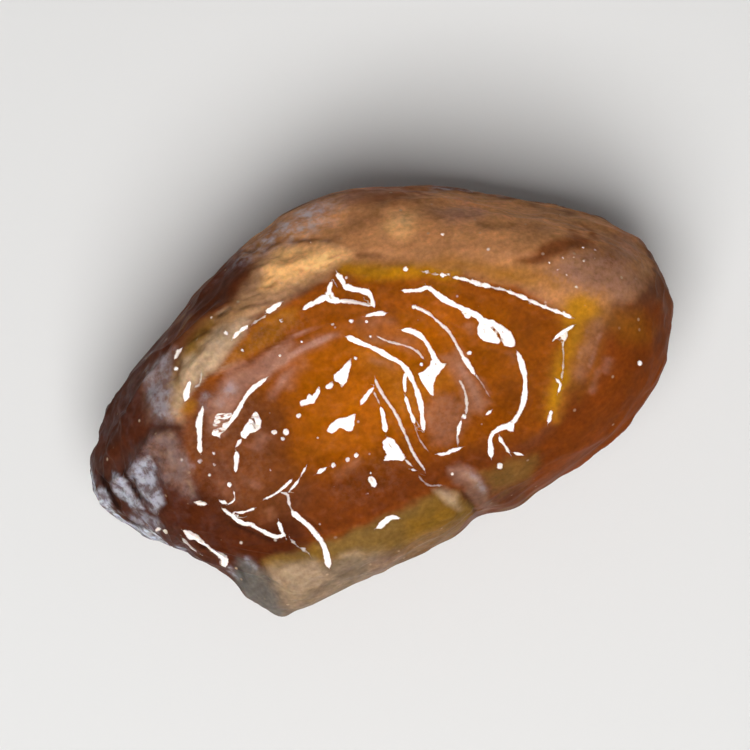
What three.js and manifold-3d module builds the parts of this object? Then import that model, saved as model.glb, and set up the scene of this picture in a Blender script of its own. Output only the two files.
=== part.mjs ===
// A single ripe date, lying on its side with its flattened, sunken cheek up.
//
// The fruit is one solid. Its long axis runs along X, from the stem end at -X to the blunt tip at +X,
// and it rests on a small flat spot on the plane Z = 0. All sizes are in millimetres, and every
// direction and distance below is taken from the fruit's centre.

import * as THREE from "three";
import { mergeVertices } from "three/addons/utils/BufferGeometryUtils.js";
import Module from "manifold-3d";

const wasm = await Module();
wasm.setup();

// The plump form that the fruit had before it was packed: an ellipsoid's half axes.
const HALF_LENGTH = 24.2;
const HALF_WIDTH = 14.5;
const HALF_HEIGHT = 11.8;

// Depth of the flat spot below the centre, where the fruit was pressed against its tray.
const REST_DEPTH = 10.7;

// How tightly the pressed sides meet each other: a higher power gives a sharper edge.
const EDGE_POWER = 12;

// Rows of triangles round the girth, along the body and over each rounded end.
const GIRTH_ROWS = 84;
const BODY_ROWS = 25;
const END_ROWS = 15;

// Sides pressed flat by neighbouring fruit: the direction that each faces, and its distance.
const PRESSED_SIDES = [
  { name: "sunken cheek", faces: [0.02, -0.05, 1.0], reach: 9.9 },
  { name: "back shoulder", faces: [0.08, 0.58, 0.81], reach: 12.0 },
  { name: "back, towards the tip", faces: [0.55, 0.8, 0.22], reach: 14.1 },
  { name: "back, towards the stem", faces: [-0.42, 0.89, 0.16], reach: 14.0 },
  { name: "blunt tip", faces: [0.95, 0.1, 0.28], reach: 22.1 },
  { name: "tip, front side", faces: [0.77, -0.62, 0.1], reach: 22.1 },
  { name: "front flap", faces: [-0.03, -0.62, 0.78], reach: 12.6 },
  { name: "front, under the flap", faces: [-0.02, -0.93, -0.36], reach: 12.8 },
  { name: "front, towards the tip", faces: [0.09, -0.97, 0.2], reach: 13.1 },
  { name: "front, towards the stem", faces: [-0.77, -0.63, 0.05], reach: 17.6 },
  { name: "stem end, upper side", faces: [-0.78, 0.14, 0.6], reach: 18.5 },
  { name: "stem end, back side", faces: [-0.79, 0.55, -0.2], reach: 20.0 },
];

// Where the loose skin stands out in a pinched fold: its direction, how far it spreads and stands out.
const PINCHED_FOLDS = [
  { name: "corner of the front flap", faces: [-13.6, -12.7, 0.6], spread: 2.8, height: 2.1 },
  { name: "edge of the front flap", faces: [-5.5, -12.9, 0.4], spread: 6.0, height: 0.35 },
  { name: "fold beside the notch", faces: [5.0, -12.6, 0.6], spread: 2.2, height: 0.5 },
  { name: "stem end", faces: [-22.0, 0.4, -0.6], spread: 4.6, height: 0.9 },
];

// Broad wrinkles drawn in between two places on the skin.
const WRINKLES = [
  { name: "notch in the flap", from: [2.9, -12.9, 2.4], to: [3.6, -11.4, -6.5], width: 1.3, depth: 0.8 },
  { name: "under the flap", from: [-14.5, -9.5, -2.5], to: [0.5, -12.0, -4.0], width: 2.0, depth: 0.7 },
  { name: "front, low", from: [2.5, -10.5, -6.0], to: [17.5, -6.5, -3.5], width: 2.1, depth: 0.7 },
  { name: "back, middle", from: [-12.0, 9.5, -1.0], to: [8.0, 12.6, -0.6], width: 2.3, depth: 0.5 },
  { name: "back, low", from: [-15.5, 6.5, -5.0], to: [14.5, 7.5, -6.2], width: 2.3, depth: 0.8 },
  { name: "tip, back", from: [12.0, 9.0, 1.5], to: [20.8, 1.2, 2.4], width: 1.8, depth: 0.35 },
  { name: "tip, low", from: [10.5, 3.0, -9.0], to: [20.5, -0.5, -4.5], width: 2.0, depth: 0.6 },
  { name: "stem end, low", from: [-19.8, -3.0, -4.0], to: [-9.5, -4.0, -10.0], width: 2.0, depth: 0.6 },
  { name: "stem end, back", from: [-20.2, 3.2, 1.0], to: [-12.5, 7.2, 4.6], width: 1.9, depth: 0.5 },
];

// The sunken area of the cheek: the straight sides of its outline, in plan.
const CHEEK_OUTLINE = [
  { faces: [0.67, 0.74], reach: 8.3 },
  { faces: [0.78, -0.63], reach: 12.9 },
  { faces: [0, -1], reach: 9.4 },
  { faces: [-0.78, -0.62], reach: 15.4 },
  { faces: [-1, 0.05], reach: 16.2 },
  { faces: [-0.47, 0.88], reach: 9.5 },
  { faces: [0, 1], reach: 7.8 },
];

// The cheek's floor: its height in the middle, how much it rises towards the tip and towards the back,
// and where its rim begins and ends as a share of the way out to the outline.
const CHEEK_FLOOR = { height: 8.29, towardsTip: 0.007, towardsBack: 0.055 };
const CHEEK_RIM = { begins: 0.6, ends: 1.03 };

// The shallow pit at the stem end where the cap was.
const STEM_PIT = { faces: [-0.95, 0.04, -0.3], spread: 2.4, depth: 0.8 };

const vector = ([x, y, z = 0]) => new THREE.Vector3(x, y, z);

// Joins rounded limits into one: each is the share of the way out to that limit.
function powerMean(shares) {
  return shares.reduce((sum, share) => sum + Math.max(0, share) ** EDGE_POWER, 0) ** (1 / EDGE_POWER);
}

function bell(distance, spread) {
  return Math.exp(-((distance / spread) ** 2));
}

const pressedSides = PRESSED_SIDES.map(({ faces, reach }) => vector(faces).normalize().divideScalar(reach));

// Distance from the centre to the pressed, rounded body in a direction.
function bodyDistance(direction) {
  const plump = Math.hypot(
    direction.x / HALF_LENGTH,
    direction.y / HALF_WIDTH,
    direction.z / HALF_HEIGHT,
  );
  return 1 / powerMean([plump, ...pressedSides.map((side) => direction.dot(side))]);
}

// How far apart two directions lie on the skin, measured along it at the given distance out.
function gap(direction, other, distance) {
  return direction.angleTo(other) * distance;
}

const pinchedFolds = PINCHED_FOLDS.map((fold) => ({ ...fold, centre: vector(fold.faces) }));

function foldHeight(direction, distance) {
  return pinchedFolds.reduce(
    (sum, { centre, spread, height }) => sum + height * bell(gap(direction, centre, distance), spread),
    0,
  );
}

const wrinkles = WRINKLES.map((wrinkle) => ({
  ...wrinkle,
  line: new THREE.Line3(vector(wrinkle.from), vector(wrinkle.to)),
}));

function wrinkleDepth(direction, distance) {
  const onSkin = direction.clone().multiplyScalar(distance);
  const nearest = new THREE.Vector3();
  return wrinkles.reduce((sum, { line, width, depth }) => {
    line.closestPointToPoint(onSkin, true, nearest);
    return sum + depth * bell(gap(direction, nearest, distance), width);
  }, 0);
}

const stemPit = vector(STEM_PIT.faces);

function stemPitDepth(direction, distance) {
  return STEM_PIT.depth * bell(gap(direction, stemPit, distance), STEM_PIT.spread);
}

const cheekOutline = CHEEK_OUTLINE.map(({ faces, reach }) => vector(faces).normalize().divideScalar(reach));

// The skin sinks to the cheek's floor inside its outline, with a soft rim.
function sunkenHeight({ x, y, z }) {
  if (z < 0) return z;
  const out = powerMean(cheekOutline.map((edge) => x * edge.x + y * edge.y));
  const share = 1 - THREE.MathUtils.smoothstep(out, CHEEK_RIM.begins, CHEEK_RIM.ends);
  const floor = CHEEK_FLOOR.height + CHEEK_FLOOR.towardsTip * x + CHEEK_FLOOR.towardsBack * y;
  return THREE.MathUtils.lerp(z, Math.min(z, floor), share);
}

function skinPoint(direction) {
  const distance = bodyDistance(direction);
  const relief =
    foldHeight(direction, distance) - wrinkleDepth(direction, distance) - stemPitDepth(direction, distance);
  const point = direction.clone().multiplyScalar(distance + relief);
  point.z = sunkenHeight(point);
  return point;
}

// The whole fruit, still round underneath: a capsule's even triangles, moved out to the skin.
function wholeFruit() {
  const bodyLength = 2 * (HALF_LENGTH - HALF_WIDTH);
  const capsule = new THREE.CapsuleGeometry(HALF_WIDTH, bodyLength, END_ROWS, GIRTH_ROWS, BODY_ROWS);
  capsule.rotateZ(-Math.PI / 2);
  capsule.deleteAttribute("normal");
  capsule.deleteAttribute("uv");
  const geometry = mergeVertices(capsule, 1e-3);
  const position = geometry.getAttribute("position");
  for (let i = 0; i < position.count; i++) {
    const direction = new THREE.Vector3().fromBufferAttribute(position, i).normalize();
    position.setXYZ(i, ...skinPoint(direction));
  }
  return geometry;
}

function solidFrom(geometry) {
  const bare = new THREE.BufferGeometry()
    .setAttribute("position", geometry.getAttribute("position"))
    .setIndex(geometry.index);
  const merged = mergeVertices(bare);
  return new wasm.Manifold(
    new wasm.Mesh({
      numProp: 3,
      vertProperties: new Float32Array(merged.attributes.position.array),
      triVerts: new Uint32Array(merged.index.array),
    }),
  );
}

function geometryFrom(solid) {
  const mesh = solid.getMesh();
  return new THREE.BufferGeometry()
    .setAttribute("position", new THREE.BufferAttribute(new Float32Array(mesh.vertProperties), 3))
    .setIndex(new THREE.BufferAttribute(new Uint32Array(mesh.triVerts), 1));
}

// Everything below the flat spot: a block larger than the fruit.
function belowRestPlane() {
  const span = 4 * HALF_LENGTH;
  return new THREE.BoxGeometry(span, span, span).translate(0, 0, -span / 2 - REST_DEPTH);
}

function dateGeometry() {
  const trimmed = solidFrom(wholeFruit()).subtract(solidFrom(belowRestPlane()));
  const geometry = geometryFrom(trimmed);
  geometry.computeBoundingBox();
  const { min, max } = geometry.boundingBox;
  geometry.translate(-(min.x + max.x) / 2, -(min.y + max.y) / 2, -min.z);
  geometry.computeVertexNormals();
  return geometry;
}

const skin = new THREE.MeshStandardMaterial({ color: 0x8a4716, roughness: 0.3, metalness: 0 });

const date = new THREE.Mesh(dateGeometry(), skin);
date.name = "date";

const fruit = new THREE.Group();
fruit.add(date);

export default fruit;
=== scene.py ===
"""A ripe date, lying on its side with its sunken, glossy cheek up, and the stage that it lies on."""

from typing import NamedTuple

import bpy
import numpy as np
from bpy.props import FloatProperty, FloatVectorProperty, PointerProperty
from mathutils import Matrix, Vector, noise


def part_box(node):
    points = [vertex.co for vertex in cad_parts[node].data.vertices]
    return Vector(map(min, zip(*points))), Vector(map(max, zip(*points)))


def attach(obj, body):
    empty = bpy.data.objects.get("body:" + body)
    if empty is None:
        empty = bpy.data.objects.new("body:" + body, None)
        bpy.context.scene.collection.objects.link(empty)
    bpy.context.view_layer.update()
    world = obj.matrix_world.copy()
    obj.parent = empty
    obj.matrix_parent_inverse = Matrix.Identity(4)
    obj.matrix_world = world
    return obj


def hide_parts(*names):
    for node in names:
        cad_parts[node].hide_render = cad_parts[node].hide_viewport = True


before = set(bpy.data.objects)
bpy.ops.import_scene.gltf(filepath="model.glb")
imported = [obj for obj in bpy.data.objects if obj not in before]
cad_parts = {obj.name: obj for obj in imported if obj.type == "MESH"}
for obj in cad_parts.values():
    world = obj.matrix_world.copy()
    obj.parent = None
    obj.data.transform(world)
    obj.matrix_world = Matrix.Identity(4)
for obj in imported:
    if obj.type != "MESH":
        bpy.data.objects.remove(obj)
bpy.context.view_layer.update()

bl_info = {
    "name": "Ripe Date",
    "version": (1, 0, 0),
    "blender": (4, 5, 0),
    "location": "View3D > Sidebar > Date",
    "description": "Models one ripe date with a sunken, wrinkled cheek, and the stage that it lies on",
    "category": "Add Mesh",
}

MM = 0.001

# The fruit's own measures in millimetres, from the frame's box.
LOW, HIGH = (np.array(corner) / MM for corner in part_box("date"))
CENTRE = (LOW + HIGH) / 2
HALF = (HIGH - LOW) / 2

# Rows of the skin's mesh from the stem end to the tip, columns round the girth, and how much finer
# they are in the middle of the length and on the upper side.
RINGS = 268
SEGMENTS = 364
FINER_MIDDLE = 0.7
FINER_TOP = 1.3

# Height in millimetres from which the cheek's creases and colours are placed in plan.
VIEW_HEIGHT = 303.0

# Where the cap came off, in the shallow pit at the stem end, and the dry point at the tip, as directions.
STEM_SCAR = (-0.95, 0.04, -0.33)
TIP_POINT = (1.0, 0.03, -0.32)

# The cheek's floor: its height in the middle, how it rises along X and Y, and the way to its crisp lip.
FLOOR_HEIGHT = 18.99
FLOOR_RISE = (0.007, 0.055)
TOWARDS_LIP = (0.67, 0.74)

# The front flap's corner in plan, how far it is drawn out, and the middle of the band behind its edge.
FLAP_CORNER = (-13.6, -13.1)
FLAP_CORNER_PULL = (0.10, -0.45)
FLAP_BAND = -11.2

# Heights in millimetres of what stands out of the skin, and depths of what sinks into it.
CRINKLE_HEIGHT = 0.05
PALE_FOLD_HEIGHT = 0.12
SHADED_FURROW_DEPTH = 0.10
HOLLOW_DEPTH = 0.25
PUCKER_HEIGHT = 0.09
FLAP_HEIGHT = 0.5
SWELL_HEIGHT = 0.12
SWELL_ON_CHEEK = 0.03
RIPPLE_HEIGHT = 0.006
CRUMPLE_HEIGHT = 0.22

# How far the wet edge beside a crease reaches, and what stands for skin that has no crease near it.
CREASE_SIDE = 0.35
FAR_OFFSET = 3.0
NO_CREASE = -1.0

# The fruit's length as a share of the picture's width, and how many lights its glossy skin mirrors.
FRUIT_SHARE = 0.8122
GLEAM_COUNT = 6


class Line(NamedTuple):
    """A crease or a streak: its points in plan and width, in millimetres, how broken and how strong it is."""

    points: tuple
    width: float
    broken: float = 0.0
    strength: float = 1.0


class Area(NamedTuple):
    """An area of the upper side: its outline in plan and how soft its edge is, in millimetres."""

    outline: tuple
    soft: float
    strength: float = 1.0


# The sunken cheek's outline, with its crisp lip along the back shoulder and its corner near the tip.
CHEEK = Area((
    (-14.4, 1.6), (-13.7, 3.7), (-10.8, 4.8), (-9.1, 5.7), (-7.4, 6.8), (-3.6, 7.4), (-1.0, 7.8), (0.9, 8.1),
    (2.4, 7.2), (4.4, 6.4), (6.4, 5.6), (8.3, 4.2), (11.4, 1.8), (14.8, -2.1), (12.7, -4.8), (10.3, -8.2),
    (5.0, -9.6), (-8.0, -9.6), (-12.6, -8.0), (-15.0, -4.6), (-15.2, -0.6),
), 0.35)

# Thin creases of the clear skin over the sunken flesh. They ring the cheek's middle.
CREASES = (
    # The rings on the tip side, from the middle outwards.
    Line((
        (-0.8, 3.4), (-0.3, 2.9), (0.2, 2.35), (0.9, 1.6), (1.5, 0.75), (2.05, 0.05), (2.3, -0.8),
        (2.35, -2.0), (2.15, -3.2), (1.9, -4.2), (1.6, -5.1),
    ), 0.42),
    Line(((2.1, -0.75), (1.75, -1.4), (1.5, -2.05)), 0.30),
    Line(((1.4, -2.3), (1.27, -3.3), (1.2, -4.4)), 0.32),
    Line(((1.15, -4.5), (1.08, -5.5), (1.25, -6.5)), 0.14, 0.2, 0.3),
    Line(((1.25, 2.55), (1.9, 1.85), (2.5, 1.35), (3.1, 0.85), (3.5, 0.3), (3.7, -0.35)), 0.22, 0.3, 0.45),
    Line(((3.1, 2.25), (3.7, 1.85), (4.15, 1.3), (4.4, 0.5), (4.45, -0.3), (4.4, -1.0)), 0.40),
    Line((
        (4.55, 3.45), (5.1, 2.9), (5.5, 2.35), (5.8, 1.6), (6.1, 0.9), (6.3, 0.1), (6.35, -0.7),
        (6.37, -1.6),
    ), 0.26, 0.1, 0.7),
    Line(((6.3, -1.3), (6.5, -2.1), (6.65, -2.95)), 0.42),
    Line(((6.7, -3.0), (6.85, -3.8), (6.95, -4.7)), 0.2, 0.5, 0.15),
    Line(((4.25, 4.8), (4.9, 4.55), (5.5, 4.33), (6.2, 4.25)), 0.36),
    Line(((6.1, 4.35), (6.4, 3.75), (6.9, 2.95), (7.5, 2.2), (8.1, 1.45), (8.9, 0.5)), 0.46),
    Line((
        (10.15, -2.7), (10.1, -3.6), (9.9, -4.6), (9.55, -5.5), (9.1, -6.2), (8.4, -6.85), (7.7, -7.3),
    ), 0.44),
    Line(((7.8, -7.4), (6.9, -7.25), (6.3, -7.3), (5.85, -7.6), (5.6, -8.15), (5.3, -8.9)), 0.42),
    Line(((6.45, -7.8), (6.55, -8.5), (6.65, -9.2)), 0.28, 0.3),
    Line(((6.9, -9.2), (7.5, -9.65)), 0.26, 0.3),
    Line(((5.45, -2.8), (5.5, -3.5), (5.35, -4.2), (5.1, -4.9), (4.9, -5.2)), 0.26, 0.3, 0.45),
    Line(((4.35, -5.6), (4.05, -6.0), (3.7, -6.5)), 0.40, 0.2),
    Line(((3.7, -6.4), (3.45, -7.1)), 0.18, 0.0, 0.3),
    Line(((1.8, -7.05), (2.3, -7.33), (2.9, -7.35), (3.6, -7.42)), 0.28, 0.1),
    Line(((6.2, -5.9), (6.75, -5.75)), 0.28),
    # The lip where the sunken cheek meets the smooth back shoulder.
    Line(((6.2, 5.5), (7.0, 4.95), (7.8, 4.45)), 0.22, 1.0, 0.3),
    Line(((8.1, 4.2), (8.9, 3.6), (9.6, 3.0), (10.4, 2.35)), 0.38, 0.4),
    Line(((10.3, 2.45), (11.2, 1.8)), 0.28, 0.5, 0.7),
    Line((
        (11.1, 1.85), (11.9, 1.05), (12.6, 0.3), (13.2, -0.35), (13.7, -0.9), (14.2, -1.4), (14.8, -2.0),
    ), 0.36, 0.5),
    # The point and the edge where the cheek meets the tip.
    Line(((12.85, -2.95), (13.6, -2.75), (14.7, -2.55)), 0.26),
    Line(((13.9, -3.0), (13.4, -3.5), (13.1, -4.3), (12.7, -5.1), (12.35, -5.7)), 0.16, 0.3, 0.3),
    Line(((11.95, -5.6), (12.05, -6.1), (11.7, -6.55)), 0.26, 0.3),
    Line(((10.65, -7.55), (10.05, -8.25)), 0.30),
    # The puckers along the back edge.
    Line(((-2.9, 6.5), (-2.2, 6.55), (-1.4, 6.6), (-0.8, 6.7)), 0.46, 0.1),
    Line(((-0.1, 7.5), (-0.5, 7.1), (-0.65, 6.6)), 0.40),
    Line(((-1.2, 6.65), (-0.6, 6.3), (-0.1, 5.95)), 0.50),
    Line(((-0.2, 6.05), (0.6, 5.6), (1.2, 5.2), (1.75, 4.75)), 0.34, 0.1, 0.55),
    Line(((0.5, 7.95), (0.55, 7.4), (0.65, 6.8)), 0.38),
    Line(((0.5, 6.9), (1.1, 6.35), (1.7, 5.95), (2.15, 5.5)), 0.52),
    Line(((2.1, 5.75), (2.05, 5.2), (1.95, 4.5)), 0.44),
    Line(((1.1, 4.2), (1.9, 4.05), (2.6, 3.8)), 0.38),
    Line(((-8.4, 6.5), (-7.8, 6.75), (-7.0, 6.95)), 0.32, 0.3),
    Line(((-6.7, 6.95), (-5.5, 7.15)), 0.24, 0.7, 0.4),
    Line(((-5.4, 7.35), (-4.9, 7.4), (-4.1, 7.55)), 0.42, 0.2),
    Line(((-13.4, 3.95), (-12.9, 4.4), (-12.4, 4.95)), 0.48),
    Line(((-12.3, 4.45), (-11.8, 4.6), (-11.3, 5.2)), 0.24, 0.4, 0.3),
    Line(((-12.8, 6.95), (-12.0, 7.35)), 0.28, 0.2),
    # The small ring towards the stem.
    Line(((-12.4, 3.0), (-13.0, 2.25), (-13.35, 1.5), (-13.65, 0.8), (-13.95, 0.0)), 0.46),
    Line(((-11.2, 1.1), (-10.5, 1.5), (-9.8, 2.0), (-9.1, 2.48), (-8.4, 2.75), (-7.3, 3.0)), 0.38),
    Line(((-11.4, -0.7), (-10.8, -0.3)), 0.28),
    Line(((-11.45, -0.95), (-11.75, -1.6), (-12.15, -2.35)), 0.38),
    Line(((-14.05, -3.8), (-13.6, -4.2)), 0.28),
    Line(((-12.85, -3.6), (-13.05, -4.15), (-13.6, -4.3)), 0.16, 0.4),
    Line(((-13.4, -4.95), (-12.8, -5.25), (-12.0, -5.3)), 0.34, 0.8),
    Line(((-15.75, -3.1), (-15.0, -3.6)), 0.32),
    Line(((-17.25, -4.6), (-16.75, -5.4), (-16.2, -6.2), (-15.8, -6.9), (-15.3, -8.1)), 0.48),
    Line(((-17.55, -5.1), (-17.3, -5.8), (-17.0, -6.6), (-16.6, -7.1)), 0.26, 0.0, 0.8),
    # The broken bands in the middle, and the long creases down from it.
    Line(((-1.85, -1.5), (-1.2, -1.15), (-0.45, -0.8)), 0.42),
    Line(((-0.6, -1.2), (-0.58, -2.1)), 0.16, 0.3, 0.4),
    Line(((-0.6, -2.3), (-0.68, -3.0), (-0.95, -4.15)), 0.42, 0.2),
    Line((
        (-0.1, -0.35), (-0.12, -1.4), (0.05, -2.3), (0.2, -3.2), (0.25, -4.2), (0.25, -5.2), (0.25, -6.3),
        (0.38, -7.0), (0.52, -7.8),
    ), 0.26, 0.1, 0.6),
    Line(((-0.5, -6.5), (-0.25, -7.0)), 0.22, 0.2),
    Line(((-0.4, -7.3), (-0.1, -7.6)), 0.2, 0.2),
    Line(((-0.1, -8.1), (0.3, -8.9), (1.2, -9.3)), 0.22, 0.8, 0.2),
    Line(((-11.1, -5.0), (-10.4, -4.97), (-9.8, -4.87), (-9.2, -4.7), (-8.6, -4.5)), 0.22, 0.2),
    Line(((-9.0, -5.15), (-8.1, -4.7)), 0.28, 0.2),
    Line(((-7.9, -4.5), (-7.35, -4.1)), 0.26, 0.3),
    Line(((-6.8, -4.8), (-6.0, -4.7)), 0.34, 0.4),
    Line(((-9.7, -5.0), (-9.35, -5.4), (-9.55, -6.2), (-9.5, -7.0)), 0.26, 0.2, 0.6),
    Line(((-9.6, -6.6), (-9.25, -7.35), (-8.9, -8.1), (-8.65, -8.8)), 0.44),
    Line(((-8.75, -8.5), (-8.45, -9.4), (-8.45, -10.1), (-8.7, -11.1)), 0.50),
    Line((
        (-14.1, -4.4), (-13.8, -4.9), (-13.5, -5.45), (-13.1, -6.0), (-12.7, -6.2), (-12.3, -6.8),
        (-11.8, -7.4), (-11.3, -7.85), (-10.6, -7.95),
    ), 0.34),
    Line(((-10.75, -8.1), (-10.8, -7.5), (-10.75, -6.85)), 0.34),
    Line(((-10.5, -8.3), (-10.2, -9.1), (-9.8, -9.5), (-9.6, -9.9)), 0.26, 0.8, 0.4),
    Line(((-4.4, -10.1), (-3.7, -9.92), (-3.2, -9.88), (-2.6, -10.1)), 0.38),
)

# Broader places where the skin is drawn up between creases, as outlines in plan.
PUCKERS = (
    (
        (4.2, -0.6), (4.65, -0.7), (4.75, -1.1), (5.1, -1.35), (4.5, -1.7), (4.0, -1.95), (3.6, -2.4),
        (3.3, -3.1), (3.1, -3.3), (3.0, -2.6), (2.9, -1.9), (2.9, -1.15), (3.4, -1.15), (3.9, -0.95),
    ),
    (
        (8.3, 1.2), (8.9, 0.65), (9.5, 0.15), (10.0, -0.5), (10.35, -1.1), (10.4, -1.8), (10.2, -2.25),
        (9.85, -2.2), (9.5, -1.9), (9.2, -1.65), (8.8, -1.4), (8.4, -1.1), (8.1, -0.8), (8.0, -0.35),
        (8.2, 0.1), (8.5, 0.4),
    ),
    ((7.5, 2.0), (8.3, 1.3), (8.1, 0.9), (7.7, 0.95), (7.65, 1.5)),
    ((7.0, -7.1), (8.1, -7.0), (7.85, -7.4), (7.5, -7.95), (7.2, -7.6)),
    ((12.9, -2.8), (13.5, -2.7), (14.2, -2.65), (13.9, -3.15), (13.5, -3.5), (13.2, -3.25)),
    ((-0.95, 6.95), (-0.4, 7.0), (-0.35, 6.4), (-0.1, 6.0), (-0.5, 5.85), (-0.95, 6.3)),
    (
        (-5.9, 0.1), (-5.8, 0.5), (-5.3, 0.4), (-5.0, 0.75), (-4.75, 0.45), (-4.4, 0.7), (-4.05, 0.95),
        (-4.1, 0.55), (-4.5, 0.15), (-4.9, -0.15), (-5.4, 0.0),
    ),
    ((-3.75, 0.5), (-3.6, 0.78), (-3.1, 0.9), (-2.98, 0.6), (-3.3, 0.38)),
    (
        (-2.9, 0.85), (-2.75, 1.25), (-2.1, 1.4), (-1.6, 1.65), (-1.0, 1.9), (-1.25, 1.4), (-1.7, 0.8),
        (-2.0, 0.4), (-2.55, 0.15), (-2.65, 0.6),
    ),
    (
        (-4.9, -2.35), (-4.5, -2.0), (-3.8, -1.8), (-3.0, -1.9), (-2.4, -1.9), (-2.75, -2.5), (-3.05, -3.0),
        (-3.4, -3.05), (-3.65, -2.65), (-3.95, -2.5), (-4.5, -2.75),
    ),
    (
        (-1.45, -4.6), (-0.9, -4.45), (-0.6, -4.9), (-0.5, -5.6), (-0.42, -6.1), (-0.35, -6.45),
        (-0.7, -6.55), (-1.2, -6.25), (-1.7, -6.08), (-2.05, -5.95), (-1.8, -5.75), (-1.55, -5.6),
        (-1.62, -5.1),
    ),
    (
        (-12.75, 0.9), (-12.3, 1.5), (-12.0, 2.0), (-11.5, 2.25), (-11.1, 1.9), (-10.6, 1.75), (-10.9, 1.2),
        (-11.4, 0.8), (-11.9, 0.7), (-12.2, 0.4),
    ),
    (
        (-10.75, -0.25), (-10.7, 0.15), (-10.2, 0.45), (-9.6, 0.85), (-9.05, 1.2), (-8.8, 0.9),
        (-8.85, 0.35), (-9.1, -0.15), (-9.5, -0.25), (-10.1, -0.2), (-10.5, -0.4),
    ),
)

# Where those places are parted again by a thin line.
PARTINGS = (
    Line(((9.2, -0.3), (9.36, -0.9), (9.45, -1.4), (9.3, -1.9)), 0.15),
    Line(((-9.3, 0.8), (-9.5, 0.1)), 0.14),
    Line(((13.4, -2.95), (13.5, -3.25)), 0.16),
    Line(((-12.4, 1.3), (-11.9, 1.3), (-11.4, 1.9)), 0.18),
    Line(((-12.0, 0.9), (-11.6, 1.4), (-11.0, 1.4)), 0.18),
)

# Beads of juice: place in plan and radius.
BEADS = (
    (-8.4, -0.85, 0.22), (-7.6, -1.15, 0.25), (-8.0, -1.55, 0.16), (-6.3, -0.45, 0.18), (-3.3, -6.85, 0.28),
    (-3.3, -7.2, 0.26), (-3.2, -6.35, 0.12), (-4.0, -7.65, 0.15), (-4.3, -4.8, 0.19), (-3.6, -4.75, 0.19),
    (-5.4, -4.75, 0.20), (-0.8, 1.7, 0.16), (0.0, 4.3, 0.19), (-1.3, 4.65, 0.14), (0.85, 2.7, 0.13),
    (3.4, -0.65, 0.15), (4.6, 3.4, 0.19), (4.65, -5.42, 0.20), (5.6, -9.7, 0.24), (5.2, 6.15, 0.19),
    (6.5, 5.35, 0.17), (7.45, 4.65, 0.20), (6.9, -1.3, 0.17), (-4.6, 6.4, 0.16), (-8.6, 6.95, 0.18),
    (-13.0, 6.25, 0.18), (-14.2, -0.55, 0.20), (-13.0, -0.45, 0.17), (-13.35, -1.2, 0.15),
    (-12.9, -3.0, 0.22), (-16.2, -8.0, 0.19), (-18.9, -3.8, 0.16), (-18.45, -4.15, 0.22),
    (-8.15, 5.55, 0.15), (-3.9, 4.4, 0.12), (17.9, -7.0, 0.2), (8.6, 7.25, 0.16), (-5.7, -2.5, 0.12),
    (-9.8, -3.2, 0.10), (-6.05, -6.15, 0.11), (15.3, 1.6, 0.11), (15.9, 2.2, 0.10), (16.6, 1.9, 0.08),
    (17.2, 1.4, 0.11), (17.9, 1.2, 0.08), (15.7, 1.0, 0.09), (16.4, 0.8, 0.08), (18.3, 1.8, 0.10),
    (14.9, 2.3, 0.08), (17.6, 2.3, 0.09), (16.9, 5.1, 0.10), (-0.3, 10.6, 0.11), (9.25, 3.45, 0.12),
    (10.0, 2.8, 0.12), (10.9, 2.15, 0.11), (11.5, 1.6, 0.13), (12.3, 0.75, 0.12), (12.95, 0.05, 0.13),
    (13.5, -0.55, 0.11), (14.4, -1.45, 0.13), (7.9, 4.5, 0.12),
)

# Streaks over the cheek: lilac haze where the clear skin has lifted off the flesh, partly painted sheen;
# pinkish blush; and dark furrows painted with shade.
HAZE_AND_SHEEN_STREAKS = (
    Line((
        (-8.8, 3.0), (-7.4, 3.3), (-6.0, 3.6), (-4.6, 3.8), (-3.2, 3.88), (-1.8, 3.85), (-0.6, 3.6),
    ), 0.24, 0.05, 1.6),
    Line(((-7.4, 3.2), (-5.4, 3.6), (-3.4, 3.9), (-1.4, 3.8)), 0.45, 0.25, 0.5),
    Line(((-6.8, 4.4), (-5.4, 4.8), (-4.4, 4.98), (-3.2, 4.95), (-2.0, 4.8)), 0.13, 0.6, 1.1),
    Line(((-10.2, 4.3), (-9.0, 4.6), (-7.9, 4.7)), 0.28, 0.2, 0.8),
    Line(((5.85, -1.2), (6.0, -2.8), (6.1, -4.4), (5.95, -5.7)), 0.28, 0.1, 0.7),
    Line(((-8.0, 1.2), (-7.2, 1.8), (-6.0, 2.6), (-4.6, 3.1)), 0.34, 0.5, 0.9),
    Line(((-10.4, -1.6), (-9.6, -1.0), (-8.9, -0.5)), 0.45, 0.3, 0.5),
    Line(((-11.9, -2.6), (-11.4, -3.6), (-10.6, -4.4)), 0.30, 0.6, 0.3),
    Line(((17.0, -2.2), (16.2, -3.3), (15.0, -4.5), (13.8, -5.8), (13.0, -7.0)), 0.5, 0.4, 0.45),
    Line(((16.6, -3.4), (15.2, -5.0), (14.0, -6.4)), 0.18, 0.4, 0.6),
    Line(((15.9, -2.9), (14.7, -4.2), (13.6, -5.5)), 0.16, 0.6, 0.5),
    Line(((15.2, -6.0), (14.4, -6.9), (13.6, -7.8)), 0.25, 0.5, 0.4),
    Line(((16.2, -5.6), (15.7, -6.2), (15.1, -6.7)), 0.35, 0.2, 0.35),
)
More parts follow.
